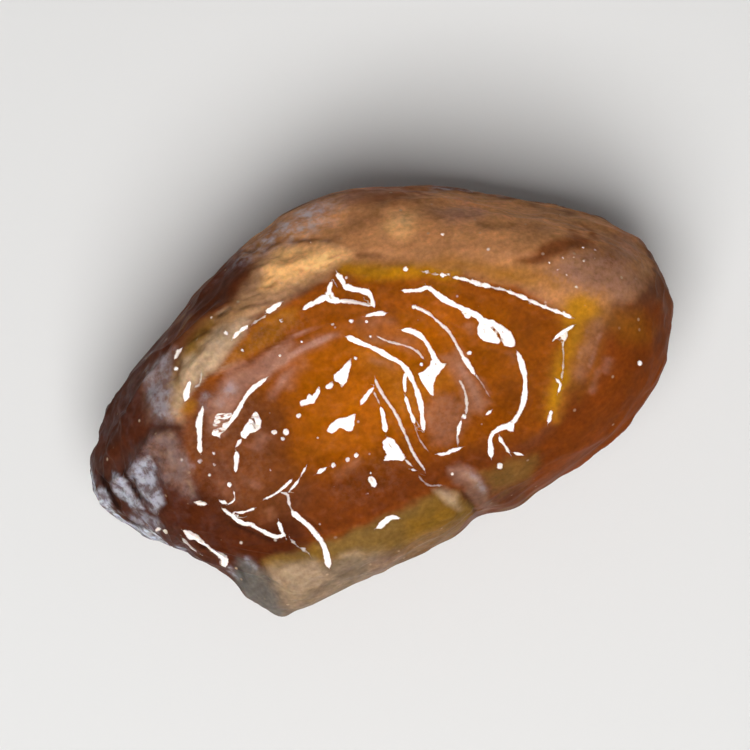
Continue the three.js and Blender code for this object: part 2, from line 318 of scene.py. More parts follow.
BLUSH_STREAKS = (
    Line(((0.0, 4.0), (1.2, 3.7), (2.4, 3.3), (3.2, 2.7)), 0.45, 0.3),
    Line(((0.0, 3.2), (0.9, 2.65), (1.9, 1.9), (2.9, 1.1), (3.6, 0.2)), 0.40, 0.3),
    Line(((5.1, -1.8), (5.45, -3.0), (5.45, -4.1), (5.0, -5.3), (4.2, -6.3)), 0.42, 0.1, 1.2),
    Line(((6.1, 0.0), (6.15, -2.0), (6.2, -3.8), (6.3, -5.4)), 0.36, 0.1, 1.3),
    Line(((6.7, -2.9), (6.95, -3.9), (7.05, -5.0)), 0.20, 0.2),
    Line(((7.5, 0.9), (7.8, 0.3), (7.7, -0.4)), 0.28, 0.3),
    Line(((9.1, -2.3), (9.55, -2.9), (9.7, -3.6)), 0.22, 0.3),
    Line(((-0.2, 1.6), (0.5, 1.0), (1.4, 0.2), (1.9, -0.6)), 0.25, 0.5),
    Line(((-6.6, 1.2), (-5.4, 2.4), (-3.8, 2.9)), 0.45, 0.7),
    Line(((-13.6, -2.0), (-13.2, -3.2), (-13.0, -4.6)), 0.30, 0.5, 0.4),
    Line(((-11.0, -5.4), (-11.1, -6.2), (-10.9, -6.9)), 0.40, 0.3),
    Line(((-6.0, -5.3), (-5.0, -5.5), (-3.2, -5.0)), 0.45, 0.5),
)
# Shallow furrows, sunk into the skin and painted darker in rust colour as painted shade.
SHADED_FURROWS = (
    Line(((2.3, 8.75), (3.0, 8.3), (4.3, 7.75)), 0.22),
    Line(((10.6, 7.5), (12.4, 6.4), (14.4, 5.5), (16.2, 4.4)), 0.30, 0.4),
    Line(((-11.2, 4.1), (-9.8, 4.3), (-8.2, 4.5), (-6.6, 4.9), (-5.0, 5.1), (-3.0, 5.1)), 0.24, 0.4),
    Line(((-8.8, 5.4), (-6.8, 6.1), (-4.0, 6.2)), 0.30, 0.8),
    Line(((12.2, 2.9), (14.0, 3.05), (16.0, 3.0), (18.2, 2.5)), 0.30, 0.3, 0.45),
    Line(((1.0, -8.2), (0.9, -9.4), (2.2, -10.2)), 0.35, 0.4),
    Line(((2.8, 4.6), (3.0, 3.6), (2.9, 2.6)), 0.30, 0.5),
    Line(((-12.2, 3.1), (-12.9, 1.9), (-13.4, 0.6), (-13.6, -0.6)), 0.30, 0.2),
    Line(((7.9, 8.9), (9.4, 8.5), (12.0, 7.4)), 0.18, 0.7, 0.5),
    Line(((-13.6, 5.5), (-12.9, 6.1), (-12.2, 6.6)), 0.24, 0.3, 1.4),
    Line(((-11.9, 7.7), (-10.6, 8.1), (-9.4, 8.2)), 0.28, 0.3, 1.2),
    Line(((-12.0, 5.4), (-11.0, 6.1), (-10.0, 6.3)), 0.14, 0.5, 0.7),
    Line(((-8.6, 7.3), (-7.0, 7.5), (-5.4, 7.5)), 0.14, 0.5, 0.8),
    Line(((-8.2, -9.6), (-6.0, -9.8), (-3.6, -10.4)), 0.20, 0.5, 0.7),
    Line(((-12.4, -10.0), (-12.0, -11.0), (-12.3, -11.8)), 0.16, 0.4, 0.8),
    Line(((-10.6, -12.6), (-9.2, -12.3), (-7.6, -12.6)), 0.16, 0.5, 0.5),
    Line(((-5.2, 10.6), (-4.0, 11.3), (-2.8, 11.8), (-1.2, 11.3), (0.3, 10.7), (1.6, 9.9)), 0.16, 0.2, 1.2),
    Line(((-11.0, 9.2), (-9.0, 9.7), (-6.0, 10.1)), 0.45, 0.4, 0.6),
    Line(((6.4, 11.3), (8.6, 10.4), (11.0, 9.2), (13.6, 7.4)), 0.35, 0.3, 1.0),
)

# Deep, narrow hollows: between the folds at the stem end, and beside the strongest creases. They are sunk
# into the skin and painted darker as painted shade.
HOLLOWS = (
    Line(((-21.2, 1.9), (-21.15, 0.8), (-21.05, -0.4), (-20.95, -1.7)), 0.19, 0.0, 1.7),
    Line(((-20.9, -1.9), (-20.3, -2.9), (-19.6, -3.6)), 0.13, 0.4, 0.8),
    Line(((-19.55, 1.4), (-19.5, 0.1), (-19.3, -0.8), (-19.3, -1.8)), 0.15, 0.1, 1.5),
    Line(((-18.95, 0.9), (-19.15, -0.4), (-19.0, -1.4), (-18.6, -2.6)), 0.10, 0.4, 0.8),
    Line(((-17.25, 0.6), (-17.4, -0.4), (-17.2, -1.4)), 0.14, 0.4, 0.7),
    Line((
        (-14.35, -4.75), (-13.75, -5.75), (-12.95, -6.65), (-12.1, -7.65), (-11.3, -8.15), (-10.7, -8.25),
    ), 0.12, 0.2, 0.8),
    Line(((-16.95, -5.3), (-16.7, -6.1), (-16.3, -6.7)), 0.12, 0.0, 0.9),
    Line(((-18.0, -5.2), (-17.6, -6.6), (-16.9, -7.5), (-16.2, -7.5)), 0.14, 0.3, 0.8),
    Line(((-9.0, -7.1), (-8.4, -8.2), (-8.0, -9.3)), 0.10, 0.3, 0.6),
    Line(((-15.1, -8.2), (-14.7, -9.1), (-14.8, -10.3)), 0.18, 0.3, 0.7),
    Line(((-13.15, -8.7), (-13.05, -9.8), (-13.1, -11.0)), 0.10, 0.3, 0.5),
    Line(((-8.9, 8.4), (-8.1, 8.5), (-7.4, 8.7)), 0.11, 0.0, 0.8),
    Line(((-5.0, 12.0), (-4.4, 11.8), (-4.0, 12.2)), 0.16, 0.2, 0.7),
    Line(((2.1, -9.9), (2.5, -11.0), (2.7, -12.6)), 0.18, 0.2, 0.7),
    Line(((8.2, 3.85), (9.4, 2.9), (10.8, 1.8), (12.0, 0.65), (13.3, -0.7), (14.4, -1.85)), 0.09, 0.4, 0.5),
    Line(((13.3, -3.0), (13.45, -3.15), (13.5, -3.3)), 0.10, 0.0, 1.0),
)

# Pale folds of the loose skin.
PALE_FOLDS = (
    Line((
        (-12.3, 4.4), (-11.8, 4.55), (-11.4, 4.8), (-11.1, 5.3), (-10.4, 5.7), (-9.4, 6.0),
    ), 0.16, 0.2, 1.0),
    Line(((-10.9, 4.5), (-10.3, 4.85), (-9.6, 4.9), (-9.0, 5.0), (-8.5, 5.3)), 0.22, 0.7, 0.9),
    Line(((-12.8, 5.3), (-11.8, 6.0), (-10.6, 6.6), (-9.4, 6.8)), 0.25, 0.4, 0.5),
    Line(((-11.2, 7.4), (-10.0, 7.5), (-8.8, 7.3)), 0.25, 0.5, 0.4),
    Line(((-8.3, 7.7), (-7.2, 7.9), (-5.8, 7.8), (-4.4, 8.0)), 0.25, 0.5, 0.4),
    Line(((-7.6, 8.4), (-6.2, 8.6), (-5.0, 8.8)), 0.25, 0.5, 0.4),
    Line(((-8.8, 8.6), (-8.1, 8.8), (-7.4, 8.95)), 0.13, 0.1, 0.9),
    Line(((-0.4, 10.6), (0.8, 10.1), (1.9, 9.2), (2.4, 8.6)), 0.20, 0.2, 0.4),
    Line(((5.6, 10.2), (6.4, 9.6), (7.1, 8.9)), 0.35, 0.3, 0.4),
    Line(((15.2, 6.9), (17.0, 5.2), (18.6, 3.6), (19.6, 2.0)), 0.35, 0.4, 0.4),
    Line(((9.2, 9.0), (11.5, 8.2), (13.4, 7.0)), 0.25, 0.5, 0.3),
    Line(((-12.8, -13.0), (-9.0, -13.05), (-5.0, -13.0), (-1.0, -12.9), (1.4, -12.7)), 0.13, 0.2, 0.8),
    Line(((-12.6, -10.4), (-11.4, -10.2), (-10.2, -10.6)), 0.25, 0.5, 0.6),
    Line(((-12.7, -12.1), (-11.6, -11.9), (-10.8, -12.3)), 0.20, 0.4, 0.7),
    Line(((-8.0, -10.9), (-6.8, -11.3), (-5.9, -11.7)), 0.25, 0.4, 0.8),
    Line(((-12.8, -9.9), (-12.6, -11.2), (-12.7, -12.6)), 0.18, 0.3, 0.5),
    Line(((-10.4, -11.0), (-9.4, -11.4), (-8.6, -12.2)), 0.22, 0.5, 0.5),
    Line(((0.9, -9.6), (1.4, -10.3), (1.7, -11.2)), 0.20, 0.3, 0.7),
    Line(((2.5, -8.6), (3.2, -9.6), (3.7, -10.8), (4.0, -12.2)), 0.20, 0.2, 0.4),
    Line(((-16.4, 2.4), (-15.6, 2.3), (-15.3, 1.6)), 0.18, 0.4, 0.4),
    Line(((-15.7, -1.2), (-15.45, -1.8), (-15.7, -2.8)), 0.14, 0.3, 0.5),
    Line(((-16.9, 1.4), (-16.2, 0.6), (-16.3, -0.6)), 0.25, 0.6, 0.35),
    Line(((-13.8, -8.4), (-13.6, -9.3), (-13.7, -10.6)), 0.20, 0.3, 0.3),
)

# Streaks of pale bloom and painted sheen near the stem end, on the flap's corner and along the back.
BLOOM_AND_SHEEN_STREAKS = (
    Line(((-21.6, 3.2), (-21.8, 1.8), (-21.8, 0.9)), 0.26, 0.2, 0.3),
    Line(((-18.2, -5.6), (-17.6, -6.1)), 0.26, 0.2, 0.8),
    Line(((-15.3, 0.4), (-14.9, -0.4), (-14.8, -1.0)), 0.22, 0.4, 0.35),
    Line(((-14.2, -8.1), (-13.8, -8.8), (-13.5, -9.7)), 0.22, 0.2, 0.45),
    Line(((-15.6, -8.3), (-15.3, -8.9), (-14.9, -9.6)), 0.20, 0.4, 0.5),
    Line(((-11.6, 2.4), (-10.6, 3.1), (-9.2, 3.6)), 0.50, 0.4, 0.28),
    Line(((-12.6, 2.2), (-12.2, 3.2), (-11.4, 3.9)), 0.30, 0.4, 0.3),
    Line(((8.4, 11.3), (9.6, 10.75), (11.2, 10.05), (12.9, 9.1), (14.6, 7.9)), 0.16, 0.3, 0.6),
    Line(((3.0, -8.6), (3.6, -9.8), (3.9, -11.4)), 0.30, 0.4, 0.3),
)

# Where the bloom and painted sheen lie thickest: on the folds of the stem end.
BLOOM_AND_SHEEN_AREAS = (
    Area((
        (-22.4, 1.6), (-21.8, 1.9), (-21.45, 0.6), (-21.25, -0.6), (-21.1, -1.6), (-20.7, -2.6),
        (-20.0, -3.4), (-19.1, -4.2), (-18.4, -4.9), (-18.7, -5.6), (-20.3, -4.8), (-21.8, -3.4),
        (-22.4, -1.0),
    ), 0.2, 0.75),
    Area((
        (-20.85, 0.9), (-20.2, 1.5), (-19.75, 0.8), (-19.6, -0.4), (-19.45, -1.3), (-19.25, -2.0),
        (-19.8, -2.2), (-20.3, -1.2), (-20.75, -0.2),
    ), 0.15, 0.5),
    Area((
        (-19.3, 0.8), (-18.6, 1.4), (-17.5, 1.2), (-17.4, 0.2), (-17.7, -0.6), (-17.7, -1.6), (-17.9, -2.4),
        (-18.6, -2.6), (-19.1, -1.6), (-19.2, -0.4),
    ), 0.25, 0.45),
    Area((
        (-20.9, -2.2), (-20.2, -1.9), (-19.4, -2.4), (-18.5, -3.0), (-18.6, -4.0), (-19.4, -4.0),
        (-20.4, -3.3),
    ), 0.25, 0.28),
    Area((
        (-15.9, 3.2), (-15.0, 2.9), (-14.4, 3.6), (-14.1, 5.2), (-13.3, 6.8), (-12.6, 7.8), (-13.8, 7.9),
        (-15.4, 6.6),
    ), 0.4, 0.24),
    Area((
        (-18.8, 1.6), (-17.6, 2.3), (-16.4, 2.7), (-15.5, 2.4), (-15.1, 1.4), (-14.9, -0.6), (-15.5, -2.8),
        (-16.0, -3.0), (-16.4, -1.6), (-17.4, -1.2),
    ), 0.5, 0.06),
)

# Where haze lies in fine specks under the clear skin, partly as painted sheen.
HAZE_AND_SHEEN_AREAS = (
    Area((
        (-18.6, 1.5), (-17.6, 2.2), (-16.4, 2.7), (-15.5, 2.4), (-15.1, 1.4), (-14.6, 0.4), (-14.4, -0.8),
        (-15.0, -1.4), (-15.4, -2.8), (-16.0, -3.0), (-16.4, -1.8), (-17.2, -1.2), (-17.4, 0.2),
    ), 0.3, 0.1),
    Area((
        (-14.6, 3.0), (-12.0, 2.6), (-8.6, 2.6), (-8.6, -1.4), (-10.2, -4.4), (-13.0, -5.0), (-14.6, -3.8),
        (-15.2, -1.0),
    ), 1.0, 0.05),
    Area((
        (14.2, 1.4), (16.0, 2.3), (18.4, 1.9), (20.2, 0.6), (20.2, -1.6), (18.4, -2.2), (16.8, -0.6),
    ), 0.7, 0.3),
    Area((
        (2.4, -3.6), (3.4, -3.2), (4.4, -3.6), (4.9, -4.9), (3.9, -6.3), (2.6, -6.6), (2.0, -4.9),
    ), 0.5, 0.1),
    Area(((-9.0, 6.2), (-9.4, 4.8), (-3.0, 5.2), (-2.8, 6.4), (-5.8, 6.9)), 0.4, 0.06),
    Area(((-6.4, -5.4), (-3.0, -5.2), (-0.8, -6.4), (-1.0, -8.4), (-6.8, -7.8)), 0.8, 0.04),
)

# Coloured areas of the upper side, each with its colour's name, from the lowest coat to the highest. Some of
# them are painted shade, painted glow or painted sheen.
PATCHES = (
    ("shoulder", Area((
        (-3.0, 8.4), (2.0, 7.9), (5.0, 6.6), (8.3, 4.6), (11.8, 1.8), (15.2, -1.8), (17.5, -2.5),
        (21.0, -2.0), (22.5, 0.0), (21.4, 3.2), (17.0, 7.4), (11.0, 11.0), (4.0, 13.8), (-3.0, 13.8),
        (-5.5, 12.5), (-4.0, 10.5),
    ), 0.8, 0.95)),
    # Painted shade: darker towards the outline along the back and round the tip.
    ("edge_shade", Area((
        (3.0, 14.5), (7.0, 12.2), (10.6, 10.2), (14.0, 7.8), (17.2, 5.0), (19.4, 2.0), (19.8, -0.6),
        (19.4, -3.6), (24.0, -5.0), (24.0, 4.0), (16.0, 11.0),
    ), 1.0, 0.3)),
    ("ember", Area((
        (2.6, 12.9), (4.2, 11.8), (6.4, 10.9), (9.4, 10.1), (8.0, 12.6), (4.0, 14.4),
    ), 0.5, 0.75)),
    # Painted shade near the back's outline.
    ("edge_shade", Area(((1.0, 10.2), (3.4, 11.6), (5.6, 11.0), (4.6, 10.2), (2.6, 10.0)), 0.6, 0.4)),
    ("edge_shade", Area(((-5.6, 11.4), (-4.0, 11.2), (-1.6, 11.9), (-1.2, 13.6), (-6.0, 13.4)), 0.9, 0.45)),
    # Haze with painted sheen.
    ("haze_and_sheen", Area(((8.6, 9.2), (10.0, 9.2), (12.4, 7.8), (11.6, 7.2), (9.6, 8.0)), 0.6, 0.6)),
    ("mauve", Area((
        (14.4, 1.6), (16.0, 2.2), (18.4, 1.8), (20.2, 0.6), (20.4, -1.8), (18.4, -2.6), (16.6, -0.8),
    ), 0.9, 0.7)),
    ("ember", Area(((18.0, 2.6), (19.6, 2.1), (20.0, 0.4), (18.6, 0.6)), 0.5, 0.35)),
    # Haze with painted sheen.
    ("haze_and_sheen", Area(((19.4, 2.6), (20.8, 2.4), (21.6, 0.8), (20.6, 0.2), (19.8, 1.4)), 0.6, 0.5)),
    ("ember", Area((
        (12.6, 3.3), (14.6, 3.6), (16.6, 3.6), (18.8, 3.0), (18.6, 2.2), (16.0, 2.4), (13.8, 2.7),
    ), 0.45, 0.8)),
    ("golden", Area((
        (10.6, 3.0), (12.0, 3.2), (13.4, 2.9), (14.6, 1.6), (15.2, 0.6), (14.4, 0.2), (12.6, 1.8),
    ), 0.8, 0.6)),
    ("ember", Area((
        (14.6, -3.4), (17.0, -4.0), (20.0, -3.4), (23.0, -4.5), (20.0, -11.0), (12.0, -14.0), (6.6, -13.6),
        (7.2, -9.6), (10.6, -8.3), (12.8, -5.8),
    ), 1.0, 1.0)),
    ("cheek", CHEEK),
    ("ember", Area((
        (-8.6, -4.8), (-2.0, -6.4), (2.0, -7.6), (8.0, -8.4), (7.0, -10.0), (-8.0, -10.0), (-13.0, -8.4),
    ), 1.1, 0.95)),
    ("brown", Area((
        (-14.6, 3.6), (-12.0, 4.8), (-9.0, 3.0), (-7.4, 0.4), (-8.4, -3.6), (-7.6, -6.0), (-10.0, -9.0),
        (-14.0, -7.0), (-15.4, -2.0),
    ), 1.4, 0.65)),
    ("rust", Area((
        (-16.4, -0.6), (-14.6, -2.0), (-13.4, -4.6), (-12.0, -6.4), (-9.2, -7.2), (-9.2, -8.8),
        (-11.0, -9.6), (-14.0, -9.8), (-17.4, -5.4), (-18.4, -2.0),
    ), 0.9, 0.95)),
    ("rust", Area(((-5.0, -7.6), (0.0, -7.9), (4.6, -7.4), (4.8, -9.0), (-5.0, -9.2)), 0.6, 0.22)),
    ("rust", Area(((11.6, -7.6), (12.8, -7.2), (13.6, -8.2), (12.6, -9.2), (11.4, -8.8)), 0.5, 0.3)),
    ("rust", Area(((4.6, -11.7), (6.8, -11.5), (7.4, -12.6), (5.0, -13.2)), 0.4, 0.5)),
    ("rust", Area(((-14.8, -1.2), (-12.6, -1.2), (-12.0, -3.4), (-13.4, -4.2), (-14.8, -3.2)), 0.6, 0.45)),
    ("flesh", Area((
        (-7.4, -3.0), (-6.2, 0.6), (-4.8, 3.2), (-1.6, 4.2), (1.6, 3.8), (4.6, 3.0), (6.4, 1.6),
        (6.6, -0.6), (5.6, -3.2), (3.6, -4.2), (0.8, -4.6), (-3.0, -5.2),
    ), 1.3)),
    # Painted glow: the brightest flesh in the middle, as if lit through.
    ("painted_glow", Area((
        (-0.6, 2.2), (1.2, 1.6), (2.2, -0.6), (3.8, -1.6), (5.4, -2.0), (5.2, -3.4), (3.0, -2.8),
        (1.4, -4.0), (0.4, -3.0), (0.2, -0.6),
    ), 0.7, 0.8)),
    ("flesh", Area((
        (4.2, 4.2), (7.2, 3.6), (9.4, 2.2), (10.6, 0.2), (10.2, -2.2), (9.4, -4.4), (7.4, -4.2),
        (7.2, -1.0), (6.2, 2.0),
    ), 1.2, 0.4)),
    ("cheek", Area(((4.2, 3.2), (5.6, 2.6), (6.0, 1.2), (5.2, 0.9), (4.6, 1.8)), 0.5, 0.5)),
    ("golden", Area(((5.8, 4.5), (7.4, 4.4), (8.2, 3.4), (7.0, 3.2)), 0.5, 0.3)),
    ("flesh", Area((
        (-4.0, 6.6), (0.0, 7.0), (2.4, 6.0), (4.4, 5.2), (2.4, 4.6), (-0.6, 5.4), (-4.0, 5.4),
    ), 0.8, 0.15)),
    # Haze with painted sheen round the small ring towards the stem.
    ("haze_and_sheen", Area((
        (-12.6, 1.4), (-11.8, 3.0), (-10.6, 3.9), (-8.6, 4.3), (-6.4, 4.6), (-4.4, 4.6), (-5.6, 3.6),
        (-7.6, 3.1), (-9.4, 2.4), (-11.0, 1.2), (-12.2, 0.4),
    ), 0.5, 0.85)),
    ("blush", Area((
        (2.4, -3.6), (3.4, -3.2), (4.4, -3.6), (4.9, -4.9), (3.9, -6.3), (2.9, -6.9), (1.9, -6.2),
        (2.0, -4.9),
    ), 0.6, 0.65)),
    ("blush", Area((
        (-0.6, 4.0), (1.6, 3.5), (3.0, 2.8), (4.2, 1.0), (4.0, -0.6), (3.0, 0.6), (1.4, 2.2), (0.0, 3.2),
    ), 0.6, 0.25)),
    ("blush", Area((
        (4.9, -0.6), (6.0, -1.0), (6.4, -3.4), (6.8, -5.4), (6.0, -5.8), (5.2, -5.0), (5.3, -3.0),
    ), 0.4, 0.9)),
    # Haze with painted sheen.
    ("haze_and_sheen", Area(((-12.4, -0.6), (-13.6, -1.4), (-13.8, -3.6), (-12.6, -4.8), (-12.0, -3.0)), 0.6, 0.08)),
    ("golden", Area((
        (-9.6, 5.3), (-7.6, 6.5), (-4.6, 7.2), (-3.2, 6.8), (-3.8, 5.8), (-5.6, 5.3), (-8.6, 4.9),
    ), 0.4, 0.55)),
    # Painted glow along the lip.
    ("clear", Area((
        (0.8, 8.4), (2.2, 8.0), (4.2, 6.9), (6.6, 5.8), (8.8, 4.3), (8.2, 4.0), (6.2, 5.1), (3.6, 6.0),
        (2.0, 6.8), (0.8, 7.6),
    ), 0.5, 0.8)),
    ("golden", Area((
        (14.2, -0.8), (15.6, -0.2), (17.6, -1.2), (17.2, -2.8), (15.4, -4.4), (13.4, -6.0), (12.0, -7.6),
        (10.6, -8.4), (10.0, -7.6), (11.6, -5.0), (13.6, -3.0),
    ), 0.7, 0.6)),
    ("golden", Area(((13.0, -6.0), (15.4, -4.0), (16.6, -4.4), (14.6, -6.8), (12.8, -8.0)), 0.5, 0.2)),
    # Painted glow along the tip's edge.
    ("clear", Area((
        (14.5, -1.4), (15.2, -0.5), (16.3, -0.7), (17.0, -1.5), (16.6, -2.5), (15.5, -3.0), (14.6, -3.6),
        (13.9, -4.6), (13.0, -5.0), (12.7, -6.2), (11.8, -6.6), (11.5, -7.5), (10.6, -8.3), (10.2, -7.7),
        (11.0, -6.2), (11.9, -5.0), (13.1, -3.8), (13.8, -3.0),
    ), 0.4, 0.5)),
    ("clear", Area((
        (14.5, -1.4), (15.1, -0.6), (16.0, -0.9), (16.5, -1.6), (16.0, -2.4), (15.2, -2.5),
    ), 0.6, 0.75)),
    ("clear", Area((
        (12.7, -5.0), (12.6, -6.0), (11.6, -6.9), (10.9, -7.4), (11.4, -6.2), (12.1, -5.3),
    ), 0.35, 0.8)),
    ("golden", Area(((16.4, -3.0), (18.0, -2.8), (19.6, -3.8), (19.4, -5.6), (17.8, -5.2)), 1.0, 0.35)),
    ("golden", Area((
        (6.4, 6.0), (9.4, 4.0), (12.0, 1.8), (13.4, 1.4), (11.4, 3.6), (8.0, 6.0),
    ), 0.7, 0.75)),
    ("loose", Area((
        (-14.9, 3.2), (-14.2, 5.2), (-11.6, 7.6), (-8.6, 8.4), (-6.4, 9.4), (-4.4, 10.9), (-1.8, 11.2),
        (0.4, 9.9), (1.7, 8.5), (0.6, 8.2), (-1.0, 8.0), (-3.6, 7.7), (-7.4, 7.2), (-9.2, 6.0),
        (-13.4, 4.0), (-14.2, 2.6),
    ), 0.5, 0.85)),
    ("straw", Area((
        (-5.0, 9.2), (-4.0, 10.3), (-2.9, 11.1), (-1.6, 11.0), (-0.4, 10.4), (0.9, 9.6), (2.2, 8.7),
        (0.8, 8.4), (-3.4, 8.5),
    ), 0.5, 1.0)),
    ("husk", Area((
        (-14.3, 3.4), (-14.0, 5.5), (-12.0, 7.0), (-9.0, 7.7), (-7.0, 7.8), (-6.6, 7.3), (-7.8, 6.7),
        (-9.2, 5.8), (-10.9, 5.0), (-13.4, 4.0),
    ), 0.4, 0.9)),
    ("rust", Area((
        (-13.0, 7.9), (-11.0, 8.7), (-8.6, 9.0), (-6.6, 9.9), (-5.2, 11.3), (-6.0, 14.0), (-14.0, 11.0),
        (-15.0, 8.4),
    ), 0.45, 0.85)),
    ("straw", Area(((5.0, 9.4), (5.8, 10.3), (7.2, 9.4), (6.6, 8.5), (5.6, 8.5)), 0.8, 0.75)),
    ("moss", Area(((-8.8, 7.7), (-6.4, 7.9), (-5.6, 8.6), (-7.4, 9.0), (-8.8, 8.5)), 0.5, 0.35)),
    ("moss", Area(((-14.0, 5.4), (-13.2, 6.6), (-12.4, 6.8), (-12.6, 5.9), (-13.4, 5.0)), 0.4, 0.6)),
    ("moss", Area((
        (-12.4, 6.7), (-11.4, 8.1), (-9.0, 8.5), (-8.9, 7.9), (-10.4, 7.5), (-11.0, 6.7),
    ), 0.45, 0.85)),
    ("golden", Area(((-14.0, 3.5), (-13.2, 4.0), (-12.6, 3.4), (-13.2, 2.8)), 0.35, 0.85)),
    ("olive", Area(((-14.3, 3.9), (-13.7, 5.4), (-12.9, 5.2), (-13.1, 4.3)), 0.4, 0.35)),
    # Haze with painted sheen.
    ("haze_and_sheen", Area(((-1.0, 12.0), (3.0, 12.2), (6.4, 11.8), (6.2, 13.2), (-1.0, 14.0)), 0.5, 0.4)),
    ("olive", Area((
        (-12.9, -9.0), (-12.0, -9.0), (-8.0, -9.7), (-1.0, -9.7), (1.6, -9.9), (2.5, -11.0), (2.4, -15.0),
        (-3.0, -15.0), (-9.0, -13.4), (-12.6, -11.6),
    ), 0.4, 0.95)),
    ("beige", Area((
        (-13.2, -9.8), (-11.4, -10.0), (-8.2, -11.0), (-5.4, -11.6), (-3.4, -12.8), (-3.0, -15.0),
        (-15.0, -15.0), (-13.4, -12.0),
    ), 0.6, 0.9)),
    ("husk", Area((
        (-12.7, -9.6), (-11.2, -10.2), (-9.4, -11.0), (-9.0, -12.2), (-12.4, -13.0),
    ), 0.5, 0.55)),
    ("moss", Area((
        (-2.6, -10.4), (0.4, -9.9), (1.8, -10.4), (1.9, -11.6), (0.2, -12.4), (-2.4, -11.8),
    ), 0.7, 0.8)),
    ("moss", Area(((-9.6, -9.6), (-8.9, -9.4), (-8.8, -10.6), (-9.3, -10.8)), 0.3, 0.7)),
    ("mauve", Area(((-6.0, -12.0), (-2.0, -12.2), (1.6, -12.2), (2.2, -14.0), (-6.0, -14.0)), 0.5, 0.45)),
    ("husk", Area(((0.6, -9.5), (1.6, -9.7), (2.0, -10.6), (1.7, -11.4), (1.0, -10.9)), 0.35, 0.75)),
    ("ash", Area((
        (-14.6, -8.0), (-13.8, -8.6), (-13.1, -10.0), (-13.0, -13.6), (-15.4, -13.4), (-15.6, -10.0),
    ), 0.5, 0.85)),
    # Painted shadow: a cast shadow painted in rust colour on the upper side of the stem end.
    ("rust", Area((
        (-20.2, 2.0), (-16.5, 3.0), (-15.7, 3.6), (-16.2, 6.2), (-17.5, 7.4), (-20.5, 5.5),
    ), 0.5, 0.75)),
    ("mauve", Area((
        (-17.2, 1.6), (-16.2, 2.7), (-15.4, 2.4), (-15.2, 1.5), (-15.6, 0.6), (-15.0, 0.2), (-14.8, -0.8),
        (-15.3, -1.4), (-15.5, -2.8), (-16.0, -2.6), (-16.6, -1.4), (-17.1, -0.6), (-16.8, 0.6),
    ), 0.5, 0.5)),
    ("mauve", Area((
        (-16.6, 3.6), (-15.6, 6.4), (-13.6, 7.9), (-12.4, 7.8), (-13.4, 6.4), (-14.2, 4.6), (-14.8, 3.0),
    ), 0.6, 0.5)),
    ("olive", Area((
        (4.0, -9.6), (6.6, -9.6), (8.6, -10.0), (8.4, -10.8), (6.2, -11.4), (4.4, -11.4),
    ), 0.5, 0.65)),
    ("mauve", Area((
        (2.3, -8.3), (2.9, -8.6), (3.6, -9.8), (3.9, -11.4), (4.2, -14.0), (2.9, -14.0), (2.8, -11.0),
        (2.2, -9.4),
    ), 0.3, 0.75)),
    # Haze with painted sheen at the notch.
    ("haze_and_sheen", Area(((2.3, -8.4), (3.2, -8.4), (3.9, -9.4), (3.8, -10.2), (3.0, -9.9)), 0.3, 0.5)),
)

# The names of the colours of skin that has come away from the flesh, which is crinkled.
LOOSE_SKIN = {"loose", "husk", "beige", "ash", "moss"}


# ---------------------------------------------------------------- settings


def tone(name, description, default):
    """A setting that holds a colour."""
    return FloatVectorProperty(
        name=name, description=description, default=default, subtype="COLOR", min=0.0, max=1.0,
    )


